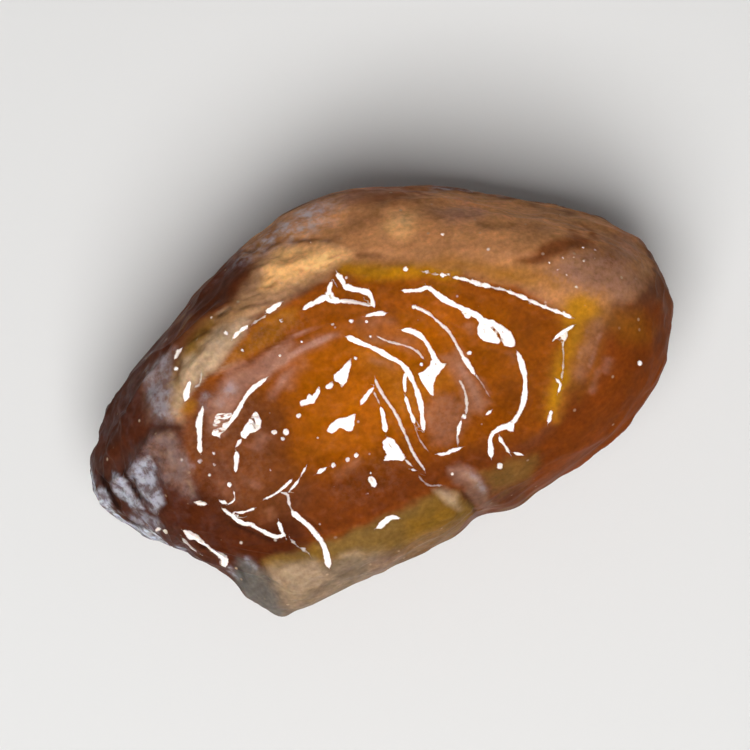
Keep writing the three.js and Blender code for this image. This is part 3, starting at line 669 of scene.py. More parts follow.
class DateSkinSettings(bpy.types.PropertyGroup):
    """The measures and colours of the fruit's skin."""

    crease_width: FloatProperty(
        name="Crease Width", description="Multiplies the width of the thin creases",
        default=0.83, min=0.0, max=2.0, subtype="FACTOR",
    )
    crease_slope: FloatProperty(
        name="Crease Slope", description="How steep the sides of the thin creases are",
        default=0.38, min=0.0, max=1.0,
    )
    wrinkle_height: FloatProperty(
        name="Wrinkle Height", description="Height of the long wrinkles on the sides and underneath",
        default=0.50 * MM, min=0.0, max=1.0 * MM, subtype="DISTANCE", unit="LENGTH",
    )

    # The flesh, as it shows through the clear skin.
    # Painted glow: the flesh's own amber, made brightest in the middle as if lit through.
    painted_glow_colour: tone("Glow", "The brightest flesh, inside the rings of the cheek", (0.47, 0.140, 0.006))
    flesh_colour: tone("Flesh", "Bright amber flesh in the middle of the cheek", (0.41, 0.102, 0.0005))
    cheek_colour: tone("Cheek", "Deeper amber towards the cheek's edge", (0.27, 0.062, 0.001))
    blush_colour: tone("Blush", "Pinkish flesh between the rings of the cheek", (0.40, 0.150, 0.068))
    # Painted glow: the clear edge colour is yellow flesh brightened as if lit through the thin skin at the
    # cheek's edge.
    clear_colour: tone("Clear Edge", "Yellow flesh at the cheek's edge", (0.48, 0.205, 0.002))
    ember_colour: tone("Ember", "Deep orange-brown at the front and under the tip", (0.175, 0.036, 0.003))

    # Skin that lies close on the flesh.
    golden_colour: tone("Golden", "Golden-tan skin beside the cheek's lip", (0.41, 0.155, 0.010))
    shoulder_colour: tone("Shoulder", "Smooth mauve-tan skin on the back shoulder", (0.60, 0.262, 0.103))
    mauve_colour: tone("Mauve", "Dull mauve skin at the notch and round the tip", (0.21, 0.108, 0.072))
    # The edge shade colour is painted shade: it darkens the skin towards the outline along the back and round
    # the tip.
    edge_shade_colour: tone("Russet", "Darker skin along the back and round the tip", (0.135, 0.052, 0.022))
    brown_colour: tone("Brown", "Red-brown skin on the sides", (0.15, 0.046, 0.016))
    rust_colour: tone("Rust", "Dark reddish skin near the stem end", (0.078, 0.015, 0.003))
    dark_colour: tone("Dark", "Purple-brown skin at the stem end", (0.075, 0.024, 0.014))

    # Skin that has come away from the flesh.
    straw_colour: tone("Straw", "Golden part of the loose skin", (0.95, 0.50, 0.195))
    husk_colour: tone("Husk", "The palest part of the loose skin", (0.50, 0.34, 0.21))
    loose_colour: tone("Loose Skin", "Light tan loose skin", (0.46, 0.245, 0.125))
    olive_colour: tone("Olive", "Olive-tan skin of the front flap", (0.205, 0.110, 0.024))
    moss_colour: tone("Moss", "Darker olive parts of the loose skin", (0.21, 0.098, 0.008))
    beige_colour: tone("Beige", "Pale skin at the front flap's edge", (0.225, 0.155, 0.102))
    ash_colour: tone("Ash", "Grey skin at the flap's corner", (0.135, 0.125, 0.108))

    # What lies on the skin or just under it, with painted highlight on the creases and painted sheen in the
    # haze and the bloom.
    # The crease colour is a painted highlight: pale paint laid on the creases under their gleam.
    crease_highlight_colour: tone("Crease", "Pale skin on the creases", (0.78, 0.66, 0.57))
    # The haze colour is partly the lifted skin's own haze and partly painted sheen, soft violet-grey
    # reflections.
    haze_and_sheen_colour: tone("Haze", "Mauve haze where the clear skin has lifted off", (0.45, 0.215, 0.145))
    # The bloom colour is partly the skin's own pale bloom and partly painted sheen, violet-grey reflections
    # on the stem end's folds.
    bloom_and_sheen_colour: tone("Bloom", "Pale violet-grey bloom", (0.61, 0.64, 0.73))


class DateStageSettings(bpy.types.PropertyGroup):
    """The floor, the lights and the camera."""

    floor_colour: tone("Floor", "Colour of the pale floor", (0.78, 0.775, 0.765))
    fruit_turn: FloatProperty(
        name="Fruit Turn", description="How far the fruit appears turned in the picture",
        default=np.radians(24.0), subtype="ANGLE", unit="ROTATION",
    )
    lens: FloatProperty(
        name="Lens", description="Focal length of the camera in millimetres",
        default=200.0, min=20.0, max=400.0,
    )
    key_power: FloatProperty(
        name="Key Light", description="Power of the softbox that lights the scene, in watts",
        default=2.8, min=0.0,
    )
    gleam_power: FloatProperty(
        name="Gleam", description="Power of each strip light that the glossy skin mirrors, in watts",
        default=2.0, min=0.0,
    )
    sky: FloatProperty(
        name="Room Light", description="Strength of the even light from all round", default=0.15, min=0.0,
    )


# ---------------------------------------------------------------- modelling helpers


def deselect_all():
    for item in bpy.context.selected_objects:
        item.select_set(False)


def make_active(item):
    deselect_all()
    item.select_set(True)
    bpy.context.view_layer.objects.active = item


def apply_modifier(item, kind, **values):
    """Adds a modifier to the item, sets its values and applies it."""
    modifier = item.modifiers.new(kind.title(), kind)
    for name, value in values.items():
        setattr(modifier, name, value)
    make_active(item)
    bpy.ops.object.modifier_apply(modifier=modifier.name)


def edit_whole_mesh(item, operator, **values):
    """Runs an Edit Mode operator on the whole of the item's mesh."""
    make_active(item)
    bpy.ops.object.mode_set(mode="EDIT")
    bpy.ops.mesh.select_all(action="SELECT")
    operator(**values)
    bpy.ops.object.mode_set(mode="OBJECT")


def vertex_array(mesh, what="co"):
    values = np.empty(len(mesh.vertices) * 3)
    mesh.vertices.foreach_get(what, values)
    return values.reshape(-1, 3)


def place_vertices(mesh, places):
    mesh.vertices.foreach_set("co", places.ravel())
    mesh.update()


def smoothstep(value, low, high):
    share = np.clip((value - low) / (high - low), 0.0, 1.0)
    return share * share * (3.0 - 2.0 * share)


def bell(distance, spread):
    return np.exp(-((distance / spread) ** 2))


def grain(places, size, octaves=1, seed=0.0):
    """Smooth noise from about -1 to 1, with cells of the given size in millimetres along X, Y and Z."""
    scaled = places / np.array(size) + seed
    return np.array([noise.fractal(p, 1.0, 2.0, octaves) for p in scaled.tolist()])


def grain_pair(places, size, octaves, seeds):
    """Two noises side by side, which move plan places about."""
    return np.stack([grain(places, size, octaves, seed) for seed in seeds], axis=1)


def rounded_curve(points, step=0.06):
    """A smooth curve through given points, with a sample about every step."""
    points = np.array(points)
    ends = [2 * points[0] - points[1], *points, 2 * points[-1] - points[-2]]
    samples = []
    for before, start, end, after in zip(ends, ends[1:], ends[2:], ends[3:]):
        count = max(2, int(np.hypot(*(end - start)) / step))
        t = np.linspace(0.0, 1.0, count, endpoint=False)[:, None]
        samples.append(
            start
            + 0.5 * t * (end - before)
            + t**2 * (before - 2.5 * start + 2.0 * end - 0.5 * after)
            + t**3 * (1.5 * (start - end) + 0.5 * (after - before))
        )
    return np.vstack([*samples, ends[-2]])


def places_near(plan, points, reach):
    """Which plan places lie within reach of the points' box."""
    low, high = np.min(points, axis=0) - reach, np.max(points, axis=0) + reach
    return np.flatnonzero(np.all((plan > low) & (plan < high), axis=1))


def offset_from_line(plan, line, reach):
    """For plan places within reach of a line: which, how far to its left and along it, and its length."""
    curve = rounded_curve(line.points)
    near = places_near(plan, curve, reach)
    offsets = plan[near, None, :] - curve[None, :, :]
    nearest = np.einsum("ijk,ijk->ij", offsets, offsets).argmin(axis=1)
    ahead = np.gradient(curve, axis=0)
    ahead = (ahead / np.hypot(*ahead.T)[:, None])[nearest]
    away = offsets[np.arange(len(near)), nearest]
    left = ahead[:, 0] * away[:, 1] - ahead[:, 1] * away[:, 0]
    past_end = np.where((nearest == 0) | (nearest == len(curve) - 1), np.sum(ahead * away, axis=1), 0.0)
    offset = np.where(left < 0.0, -1.0, 1.0) * np.hypot(left, past_end)
    length = np.hypot(*np.diff(curve, axis=0).T).sum()
    return near, offset, nearest / (len(curve) - 1) * length, length


def depth_inside(plan, outline):
    """How far inside an outline each plan place lies. It is negative outside."""
    outline = np.array(outline)
    inside = np.zeros(len(plan), dtype=bool)
    nearest = np.full(len(plan), np.inf)
    for start, end in zip(outline, np.roll(outline, -1, axis=0)):
        edge = end - start
        offset = plan - start
        along = np.clip(offset @ edge / (edge @ edge), 0.0, 1.0)
        nearest = np.minimum(nearest, np.hypot(*(offset - along[:, None] * edge).T))
        crosses = (start[1] > plan[:, 1]) != (end[1] > plan[:, 1])
        slope = edge[0] / edge[1] if edge[1] else 0.0
        inside ^= crosses & (plan[:, 0] < start[0] + slope * (plan[:, 1] - start[1]))
    return np.where(inside, nearest, -nearest)


def inside_area(plan, area):
    """1 well inside an area's outline and 0 well outside, with a soft edge centred on the outline."""
    return smoothstep(depth_inside(plan, area.outline), -area.soft, area.soft)


# ---------------------------------------------------------------- the fruit's skin


def evened(weights, count):
    """Places from 0 to 1 that share a density evenly between count steps."""
    total = np.concatenate([[0.0], np.cumsum(weights)])
    return np.interp(np.linspace(0.0, 1.0, count + 1), total / total[-1], np.linspace(0.0, 1.0, len(total)))


def fine_ball():
    """A small ball at the fruit's centre, its poles at the stem end and the tip, its mesh finest on top."""
    bpy.ops.mesh.primitive_uv_sphere_add(segments=SEGMENTS, ring_count=RINGS, radius=1.0)
    ball = bpy.context.object
    x, y, z = vertex_array(ball.data).T
    row = np.arccos(np.clip(z, -1.0, 1.0)) / np.pi
    column = (np.arctan2(y, x) / (2 * np.pi)) % 1.0

    steps = np.linspace(0.0, 1.0, 2000)
    polar = np.pi * steps
    length_weights = np.hypot(HALF[0] * np.sin(polar), HALF[1] * np.cos(polar))
    length_weights *= 1.0 + FINER_MIDDLE * np.sin(polar) ** 2
    turn = 2 * np.pi * steps
    girth_weights = np.hypot(HALF[1] * np.sin(turn), HALF[2] * np.cos(turn))
    girth_weights *= 1.0 + FINER_TOP * smoothstep(np.sin(turn), 0.2, 0.75)

    polar = np.pi * np.interp(row, np.linspace(0, 1, RINGS + 1), evened(length_weights, RINGS))
    turn = 2 * np.pi * np.interp(column, np.linspace(0, 1, SEGMENTS + 1), evened(girth_weights, SEGMENTS))
    ray = np.stack([
        -HALF[0] * np.cos(polar),
        HALF[1] * np.sin(polar) * np.cos(turn),
        HALF[2] * np.sin(polar) * np.sin(turn),
    ], axis=1)
    ray /= np.linalg.norm(ray, axis=1)[:, None]
    place_vertices(ball.data, (CENTRE + ray) * MM)
    edit_whole_mesh(ball, bpy.ops.mesh.normals_make_consistent, inside=False)
    return ball


def smooth_guide():
    """A merged and rounded copy of the frame's solid, which the fine skin is drawn onto."""
    make_active(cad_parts["date"])
    bpy.ops.object.duplicate()
    guide = bpy.context.object
    edit_whole_mesh(guide, bpy.ops.mesh.remove_doubles, threshold=0.01 * MM)
    apply_modifier(guide, "SUBSURF", levels=2, render_levels=2)
    return guide


def draw_onto(ball, guide):
    """Moves the ball's vertices straight out onto the guide and smooths its facets away."""
    apply_modifier(
        ball, "SHRINKWRAP", target=guide, wrap_method="PROJECT",
        use_negative_direction=False, use_positive_direction=True,
    )
    apply_modifier(ball, "SMOOTH", factor=0.5, iterations=24)
    make_active(guide)
    bpy.ops.object.delete()


def facing_up(normals):
    return smoothstep(normals[:, 2], 0.15, 0.55)


def facing_out(normals):
    """1 where the skin is seen from above, out to the outline."""
    return smoothstep(normals[:, 2], -0.1, 0.15)


def seen_plan(places):
    """Plan places, moved out a little where the skin is high, as they are seen from VIEW_HEIGHT above."""
    return places[:, :2] * (1.0 + (places[:, 2:] - CENTRE[2]) / VIEW_HEIGHT)


def round_spot(places, spot):
    """Distance in millimetres from the line that runs from the fruit's centre towards a spot."""
    towards = np.array(spot) / np.linalg.norm(spot)
    from_centre = places - CENTRE
    along = from_centre @ towards
    away = np.linalg.norm(from_centre - along[:, None] * towards, axis=1)
    return np.where(along > 0.0, away, 99.0)


def crease_half_width(crease, order, along, from_end, width_share):
    """Half a crease's width along it: it swells, breaks up in beads and ends round."""
    beads = smoothstep(np.sin(7.0 * along + order) + 0.6 * np.sin(11.9 * along + 2 * order), -0.6, 0.3)
    half = 0.5 * width_share * crease.width * (1.0 - crease.broken * (1.0 - beads))
    half *= 1.0 + 0.18 * np.sin(2.7 * along + order)
    return half * np.sqrt(1.0 - (1.0 - np.clip(from_end / (0.9 * crease.width), 0.0, 1.0)) ** 2)


def crease_field(plan, creases, width_share):
    """For plan places: the soft ridge under the creases, each layer's offset from and half width of a crease,
    and how much they gleam or how faint they are.

    Neighbouring creases lie in different layers, so that an offset can change its sign between them.
    """
    ridge, gleam, faint = np.zeros((3, len(plan)))
    offsets = np.full((len(plan), 3), FAR_OFFSET)
    halves = np.full((len(plan), 3), NO_CREASE)
    nearest = np.full((len(plan), 3), np.inf)
    for order, crease in enumerate(creases):
        layer = order % 3
        near, offset, along, length = offset_from_line(plan, crease, 1.6)
        from_end = np.minimum(along, length - along)
        half = crease_half_width(crease, order, along, from_end, width_share)
        spread = 0.25 + crease.width
        raised = 0.11 * spread * smoothstep(from_end / spread, -0.5, 2.0) * bell(offset, spread)
        ridge[near] = np.maximum(ridge[near], raised)
        gap = np.abs(offset) - half
        closer = gap < nearest[near, layer]
        chosen = near[closer]
        nearest[chosen, layer] = gap[closer]
        offsets[chosen, layer] = offset[closer]
        halves[chosen, layer] = np.where(gap[closer] < CREASE_SIDE, half[closer], NO_CREASE)
        beside = 1.0 - smoothstep(gap, 0.05, CREASE_SIDE)
        gleam[near] = np.maximum(gleam[near], crease.strength * beside)
        faint[near] = np.maximum(faint[near], (1.0 - crease.strength) * beside)
    return ridge, offsets, halves, gleam, faint


def pucker_depth(plan):
    """How far inside a pucker or a bead each plan place lies, in millimetres. It is negative outside."""
    depth = np.full(len(plan), NO_CREASE)
    for outline in PUCKERS:
        near = places_near(plan, outline, 1.0)
        depth[near] = np.maximum(depth[near], depth_inside(plan[near], outline))
    for line in PARTINGS:
        near, offset, _, _ = offset_from_line(plan, line, 0.8)
        depth[near] = np.minimum(depth[near], np.abs(offset) - line.width / 2)
    for x, y, radius in BEADS:
        depth = np.maximum(depth, radius - np.hypot(plan[:, 0] - x, plan[:, 1] - y))
    return depth - 0.02


def streaks(plan, lines):
    """1 on painted lines over plan places, fading out across their width."""
    share = np.zeros(len(plan))
    for order, line in enumerate(lines):
        near, offset, along, length = offset_from_line(plan, line, 3 * line.width)
        taper = smoothstep(along, 0.0, 0.25 * length) * smoothstep(length - along, 0.0, 0.25 * length)
        patchy = 1.0 - line.broken * (0.5 + 0.5 * np.sin(3.0 * along + order))
        share[near] = np.maximum(share[near], line.strength * taper * patchy * bell(offset, line.width))
    return share


def long_wrinkles(places):
    """Folds that run along the fruit and meander, from 0 to 1."""
    bend = grain(places, (9.0, 7.0, 7.0), 2, 3.1)
    bent = places + np.stack([np.zeros_like(bend), 1.8 * bend, 1.8 * bend], axis=1)
    coarse = bell(grain(bent, (14.0, 4.6, 4.6), 1, 7.7), 0.13)
    strength = smoothstep(grain(bent, (8.0, 5.0, 5.0), 1, 15.2), -0.3, 0.4)
    fine = bell(grain(bent, (8.0, 2.4, 2.4), 1, 28.4), 0.12)
    return coarse * strength + 0.35 * fine * (1.0 - 0.5 * strength)


def crinkles(places):
    """Small sharp-crested crinkles from about -1 to 1, drawn out along the fruit."""
    bend = grain(places, (2.4, 2.4, 2.4), 2, 47.0)
    bent = places + np.stack([0.5 * bend, 0.7 * bend, 0.7 * bend], axis=1)
    return 1.0 - 3.2 * np.abs(grain(bent, (1.7, 0.7, 0.9), 2, 53.0))


def lower_cheek(places, plan, up, depth):
    """Sinks the cheek to its floor, and says how softly its edge runs out."""
    towards_lip = plan @ TOWARDS_LIP
    soft = 1.6 - 1.3 * smoothstep(towards_lip, 3.0, 6.5)
    floor = FLOOR_HEIGHT + plan @ FLOOR_RISE + 0.05 * np.maximum(towards_lip - 2.0, 0.0)
    sunk = smoothstep(depth / soft, -1.0, 1.0) * up
    places[:, 2] += (np.minimum(places[:, 2], floor) - places[:, 2]) * sunk
    return soft


def pull_corner(places, plan):
    """Draws the flap's corner out to a point."""
    from_corner = np.hypot(plan[:, 0] - FLAP_CORNER[0], plan[:, 1] - FLAP_CORNER[1])
    corner = bell(from_corner, 0.9)
    corner = corner * smoothstep(places[:, 2], 7.5, 10.0) * smoothstep(-places[:, 2], -14.5, -12.0)
    places[:, :2] += corner[:, None] * np.array(FLAP_CORNER_PULL)


def flap_band(plan, up):
    """The front flap stands out as a flatter band, sharp at its corner."""
    along = smoothstep(plan[:, 0], -13.5, -11.5) * smoothstep(-plan[:, 0], -2.6, -0.8)
    return along * (bell(plan[:, 1] - FLAP_BAND, 1.1) * up)


def end_relief(places):
    """The stem scar's rim and ribbed floor, and the dry point at the tip."""
    from_scar = round_spot(places, STEM_SCAR)
    in_scar = smoothstep(-from_scar, -1.5, -1.1)
    relief = 0.28 * bell(from_scar - 1.75, 0.35) - 0.15 * in_scar
    relief += 0.05 * np.sin(9.0 * from_scar) * in_scar
    return relief + 0.35 * bell(round_spot(places, TIP_POINT), 0.4)


def loose_share(plan):
    """1 where the skin has come away from the flesh."""
    return np.max([inside_area(plan, area) for name, area in PATCHES if name in LOOSE_SKIN], axis=0)


def wrinkle_share(places, plan, normals, rest):
    """The long wrinkles, weak on the smooth shoulder and round the outline."""
    smooth_shoulder = facing_up(normals) * smoothstep(plan[:, 0], -6.0, 2.0) * rest
    wrinkles = long_wrinkles(places) * rest * (1.0 - 0.85 * smooth_shoulder)
    return wrinkles * (1.0 - 0.65 * bell(normals[:, 2], 0.3))


def skin_relief(places, plan, normals, settings, depth, ridge, crinkle):
    """How far each place of the skin stands out, in millimetres."""
    up, seen = facing_up(normals), facing_out(normals)
    cheek = smoothstep(depth, 0.0, 0.6) * up
    rest = 1.0 - smoothstep(depth, -1.2, 1.2) * up
    swell = grain(places, (2.6, 1.9, 2.2), 2, 9.0)
    ripple = grain(places, (1.0, 0.8, 0.9), 2, 21.0)
    crumple = grain(places, (0.9, 2.6, 2.6), 3, 71.0) * smoothstep(-plan[:, 0], 15.5, 19.0)
    return (
        CRINKLE_HEIGHT * crinkle
        + PALE_FOLD_HEIGHT * streaks(plan, PALE_FOLDS) * up
        - SHADED_FURROW_DEPTH * streaks(plan, SHADED_FURROWS) * rest * up
        - HOLLOW_DEPTH * streaks(plan, HOLLOWS) * seen
        + ridge * up
        + FLAP_HEIGHT * flap_band(plan, up)
        + end_relief(places)
        + swell * (SWELL_HEIGHT - (SWELL_HEIGHT - SWELL_ON_CHEEK) * cheek)
        + RIPPLE_HEIGHT * ripple
        + settings.wrinkle_height / MM * wrinkle_share(places, plan, normals, rest)
        + CRUMPLE_HEIGHT * crumple
    )


def wetness(mesh, depth, soft, faint, up):
    """The cheek is wet where it is nearly level, and the sides only faintly."""
    normals = vertex_array(mesh, "normal")
    slope = np.hypot(normals[:, 0], normals[:, 1]) / np.maximum(normals[:, 2], 0.01)
    level = 1.0 - smoothstep(slope, 0.12, 0.2)
    wet = 0.4 * smoothstep(depth, 0.3 + 0.7 * soft, 0.8 + soft) * (1.0 - faint) * level
    return wet * up + 0.16 * smoothstep(-normals[:, 2], -0.1, 0.2)


def shape_skin(skin, settings):
    """Flattens the cheek's floor, then raises its folds, its lip and the long wrinkles."""
    mesh = skin.data
    places = vertex_array(mesh) / MM
    normals = vertex_array(mesh, "normal")
    plan = seen_plan(places)
    up = facing_up(normals)
    depth = depth_inside(plan, CHEEK.outline)
    soft = lower_cheek(places, plan, up, depth)
    pull_corner(places, plan)

    # Thin creases, wandering a little off their lines.
    wandering = plan + 0.06 * grain_pair(places, (2.2,) * 3, 2, (1.3, 5.9))
    ridge, offsets, halves, gleam, faint = crease_field(wandering, CREASES, settings.crease_width)
    puckers = pucker_depth(wandering)
    ridge = np.maximum(ridge, PUCKER_HEIGHT * smoothstep(puckers, -0.7, 0.5))

    crinkle = crinkles(places) * loose_share(plan) * up
    raised = skin_relief(places, plan, normals, settings, depth, ridge, crinkle)
    above_rest = smoothstep(places[:, 2], 0.0, 1.2)
    places += normals * (raised * above_rest)[:, None]
    places[:, 2] = np.maximum(places[:, 2], 0.0)
    place_vertices(mesh, places * MM)
    return places, normals, {
        "cheek": smoothstep(depth, 0.0, 0.6) * up,
        "up": up,
        "crinkle": crinkle,
        "wet": wetness(mesh, depth, soft, faint, up),
        "gleam": np.maximum(gleam, smoothstep(puckers, -0.3, 0.0)) * smoothstep(up, 0.1, 0.3),
        "crease_offsets": offsets,
        "crease_halves": np.where(up[:, None] > 0.3, halves, NO_CREASE),
        "pucker_depth": np.where(up > 0.3, puckers, NO_CREASE),
    }


class Grains(NamedTuple):
    """Noises that vary the skin's colour: broad, along the fruit, round it, and fine."""

    blotch: np.ndarray
    streak: np.ndarray
    band: np.ndarray
    mottle: np.ndarray


def blend_colour(under, over, share):
    return under + (np.array(over) - under) * share[:, None]


def wander_off(places, plan, normals):
    """Plan places that wander, so that painted edges are ragged, and more so on the steep sides."""
    steep = (1.0 - smoothstep(normals[:, 2], 0.0, 0.4)) * smoothstep(plan[:, 0], -16.0, -12.5)
    amount = 1.3 - 1.0 * smoothstep(normals[:, 2], 0.2, 0.5)
    ragged = plan + amount[:, None] * grain_pair(places, (1.6,) * 3, 3, (63.0, 57.0))
    return ragged + 3.2 * steep[:, None] * grain_pair(places, (6.0, 5.0, 3.4), 2, (91.0, 97.0))


def thickest(plan, areas):
    return np.max([area.strength * inside_area(plan, area) for area in areas], axis=0)


def paint_ends(colour, settings, places, mottle):
    """The rim and the pale floor of the stem scar, and the dark point at the tip."""
    from_scar = round_spot(places, STEM_SCAR)
    colour = blend_colour(colour, settings.rust_colour, 0.7 * bell(from_scar - 2.2, 0.5))
    colour = blend_colour(
        colour, settings.beige_colour, 0.85 * smoothstep(-from_scar + 0.2 * mottle, -1.7, -1.3),
    )
    in_point = smoothstep(-round_spot(places, TIP_POINT), -0.55, -0.3)
    return blend_colour(colour, settings.dark_colour, 0.9 * in_point)


def patched_colour(settings, places, plan, uneven, normals, grains):
    """The sides and the stem end, then the patches of the upper side, which run out raggedly downwards."""
    colour = np.tile(np.array(settings.brown_colour), (len(plan), 1))
    colour = blend_colour(colour, settings.ember_colour, 0.7 * smoothstep(grains.blotch, 0.0, 0.6))
    dark = smoothstep(-plan[:, 0] + 2.5 * grains.blotch, 11.0, 17.5)
    colour = blend_colour(colour, settings.dark_colour, dark)
    painted = smoothstep(normals[:, 2] + 0.35 * grains.blotch + 0.15 * grains.streak, -0.5, 0.25)
    painted *= smoothstep(places[:, 2] + 2.2 * grains.blotch + 1.4 * grains.streak, 6.0, 11.0)
    for name, area in PATCHES:
        share = area.strength * inside_area(uneven, area) * painted
        colour = blend_colour(colour, getattr(settings, f"{name}_colour"), share)
    return colour


def streaked_colour(colour, settings, uneven, slightly_uneven, shape, grains):
    """The colour with streaks of blush, of haze with painted sheen, of painted shade in the furrows and of
    pale skin over it.
    """
    up, on_cheek = shape["up"], shape["cheek"]
    haze_and_sheen = np.clip(0.85 * streaks(slightly_uneven, HAZE_AND_SHEEN_STREAKS), 0, 1)
    # Painted shade: the furrows are darkened with rust colour.
    furrow_shade = np.clip(0.45 * streaks(uneven, SHADED_FURROWS), 0, 1)
    for over, share in (
        (settings.blush_colour, 0.6 * streaks(uneven, BLUSH_STREAKS) * on_cheek),
        (settings.haze_and_sheen_colour, 0.05 * smoothstep(grains.mottle, 0.1, 0.7) * on_cheek),
        (settings.haze_and_sheen_colour, haze_and_sheen * up),
        (settings.rust_colour, furrow_shade * up),
        (settings.husk_colour, 0.5 * streaks(uneven, PALE_FOLDS) * up),
    ):
        colour = blend_colour(colour, over, share)
    return colour


def bloom_and_sheen_share(plan, uneven, slightly_uneven, up, seen, grains):
    """Bloom and painted sheen are thick on the stem end's folds, and thin round them, on the sides and along
    the back.
    """
    stem_side = smoothstep(-plan[:, 0], 13.0, 17.5)
    bloom_and_sheen = 0.02 * stem_side * smoothstep(grains.band + 0.5 * grains.mottle, -0.1, 0.6)
    broken = smoothstep(grains.band + 0.5 * grains.blotch, -0.5, 0.2)
    painted = streaks(slightly_uneven, BLOOM_AND_SHEEN_STREAKS) * (0.55 + 0.45 * broken)
    bloom_and_sheen = np.maximum(bloom_and_sheen, 0.9 * painted * seen)
    bloom_and_sheen = np.maximum(bloom_and_sheen, thickest(uneven, BLOOM_AND_SHEEN_AREAS) * seen)
    before_tip = smoothstep(-plan[:, 0], -12.0, -4.0)
    bloom_and_sheen += 0.05 * (1.0 - up) * smoothstep(grains.streak + 0.3 * grains.blotch, -0.1, 0.7) * before_tip
    along_back = smoothstep(plan[:, 1], 10.6, 12.4) * smoothstep(-plan[:, 0], -4.0, 0.0)
    return bloom_and_sheen + 0.45 * up * along_back * smoothstep(grains.mottle, -0.6, 0.3)


def paint_skin(skin, settings, places, normals, shape):
    """Writes the skin's colour, with its painted shade, glow and sheen, and how wet it is and how much bloom
    and painted sheen it has, as attributes of its mesh.
    """
    plan = seen_plan(places)
    seen = facing_out(normals)
    uneven = wander_off(places, plan, normals)
    slightly_uneven = plan + 0.3 * (uneven - plan)
    shaded_hollow = np.clip(streaks(plan, HOLLOWS), 0, 1) * seen
    grains = Grains(
        blotch=grain(places, (3.2, 2.4, 2.8), 3, 31.0),
        streak=grain(places, (5.0, 0.9, 0.9), 3, 43.0),
        band=grain(places, (0.8, 3.4, 3.4), 3, 87.0),
        mottle=grain(places, (0.7, 0.5, 0.6), 3, 11.0),
    )
    colour = patched_colour(settings, places, plan, uneven, normals, grains)
    colour = streaked_colour(colour, settings, uneven, slightly_uneven, shape, grains)
    # Painted shade: the skin is darkened in the hollows.
    colour *= (1.0 - 0.75 * shaded_hollow)[:, None]
    # Uneven tone, and painted light and shade on the crinkles: lighter on their crests and darker in their
    # hollows.
    tone_and_crinkle_shade = 0.16 * grains.blotch + 0.05 * grains.streak + 0.12 * grains.mottle + 0.06 * shape["crinkle"]
    colour *= (1.0 + tone_and_crinkle_shade)[:, None]
    colour = paint_ends(colour, settings, places, grains.mottle)

    bloom_and_sheen = bloom_and_sheen_share(plan, uneven, slightly_uneven, shape["up"], seen, grains) * (1.0 - shaded_hollow)
    write_attributes(skin.data, colour, {
        "bloom_and_sheen": np.clip(bloom_and_sheen, 0, 1),
        "satin": 1.0 - shape["cheek"],
        "hazy_and_sheen": thickest(uneven, HAZE_AND_SHEEN_AREAS) * seen,
    } | {name: shape[name] for name in ("wet", "gleam", "pucker_depth", "crease_offsets", "crease_halves")})


def write_attributes(mesh, colour, values):
    """Writes the tint, and each named value as a number or a vector at every vertex."""
    tint = mesh.color_attributes.new("tint", "FLOAT_COLOR", "POINT")
    tint.data.foreach_set("color", np.column_stack([np.clip(colour, 0, 1), np.ones(len(colour))]).ravel())
    for name, each in values.items():
        kind, field = ("FLOAT", "value") if each.ndim == 1 else ("FLOAT_VECTOR", "vector")
        layer = mesh.attributes.new(name, kind, "POINT")
        layer.data.foreach_set(field, each.ravel())


# ---------------------------------------------------------------- materials


# How fine the grain of each part of the skin's colour and gloss is, in cells per metre.
CLOUDS = 420.0
FINE_GRAIN = 3000.0
HAZE_AND_SHEEN_SPECKS = 2400.0
DUST = 1400.0
SUGAR = 900.0
RAGGED_EDGE = 3300.0
GLINTS = 800.0
BRUSHED = (160.0, 2400.0, 2400.0)


def node(tree, kind, inputs=None, **values):
    """Adds a node, sets its properties, and sets or links its inputs."""
    made = tree.nodes.new(kind)
    for name, value in values.items():
        setattr(made, name, value)
    for name, value in (inputs or {}).items():
        if isinstance(value, bpy.types.NodeSocket):
            tree.links.new(value, made.inputs[name])
        else:
            made.inputs[name].default_value = value
    return made


def new_material(name):
    material = bpy.data.materials.new(name)
    material.use_nodes = True
    tree = material.node_tree
    shader = tree.nodes["Principled BSDF"]
    return material, tree, shader


def attribute(tree, name, output="Fac"):
    return node(tree, "ShaderNodeAttribute", attribute_name=name).outputs[output]


def between(tree, value, from_min, from_max, to_min, to_max):
    """The value, moved from one range to another and kept inside it."""
    made = node(
        tree, "ShaderNodeMapRange",
        {"Value": value, "From Min": from_min, "From Max": from_max, "To Min": to_min, "To Max": to_max},
    )
    return made.outputs[0]


def arithmetic(tree, operation, first, second):
    return node(tree, "ShaderNodeMath", {0: first, 1: second}, operation=operation).outputs[0]


def multiply(tree, first, second):
    return arithmetic(tree, "MULTIPLY", first, second)


def larger(tree, first, second):
    return arithmetic(tree, "MAXIMUM", first, second)


def vector_arithmetic(tree, operation, *vectors):
    return node(tree, "ShaderNodeVectorMath", dict(enumerate(vectors)), operation=operation).outputs[0]


def cloudy(tree, place, scale, detail, **values):
    return node(
        tree, "ShaderNodeTexNoise", {"Vector": place, "Scale": scale, "Detail": detail} | values,
    ).outputs["Fac"]


def noise_between(tree, place, scale, low, high):
    """Smooth noise between two values."""
    return between(tree, cloudy(tree, place, scale, 3.0), 0.3, 0.7, low, high)


def paint_over(tree, under, share, colour):
    """A plain colour laid over another. A Mix node's colour sockets come after its other sockets."""
    sockets = {0: share, 6: under, 7: (*colour, 1.0)}
    return node(tree, "ShaderNodeMix", sockets, data_type="RGBA", clamp_factor=True).outputs[2]


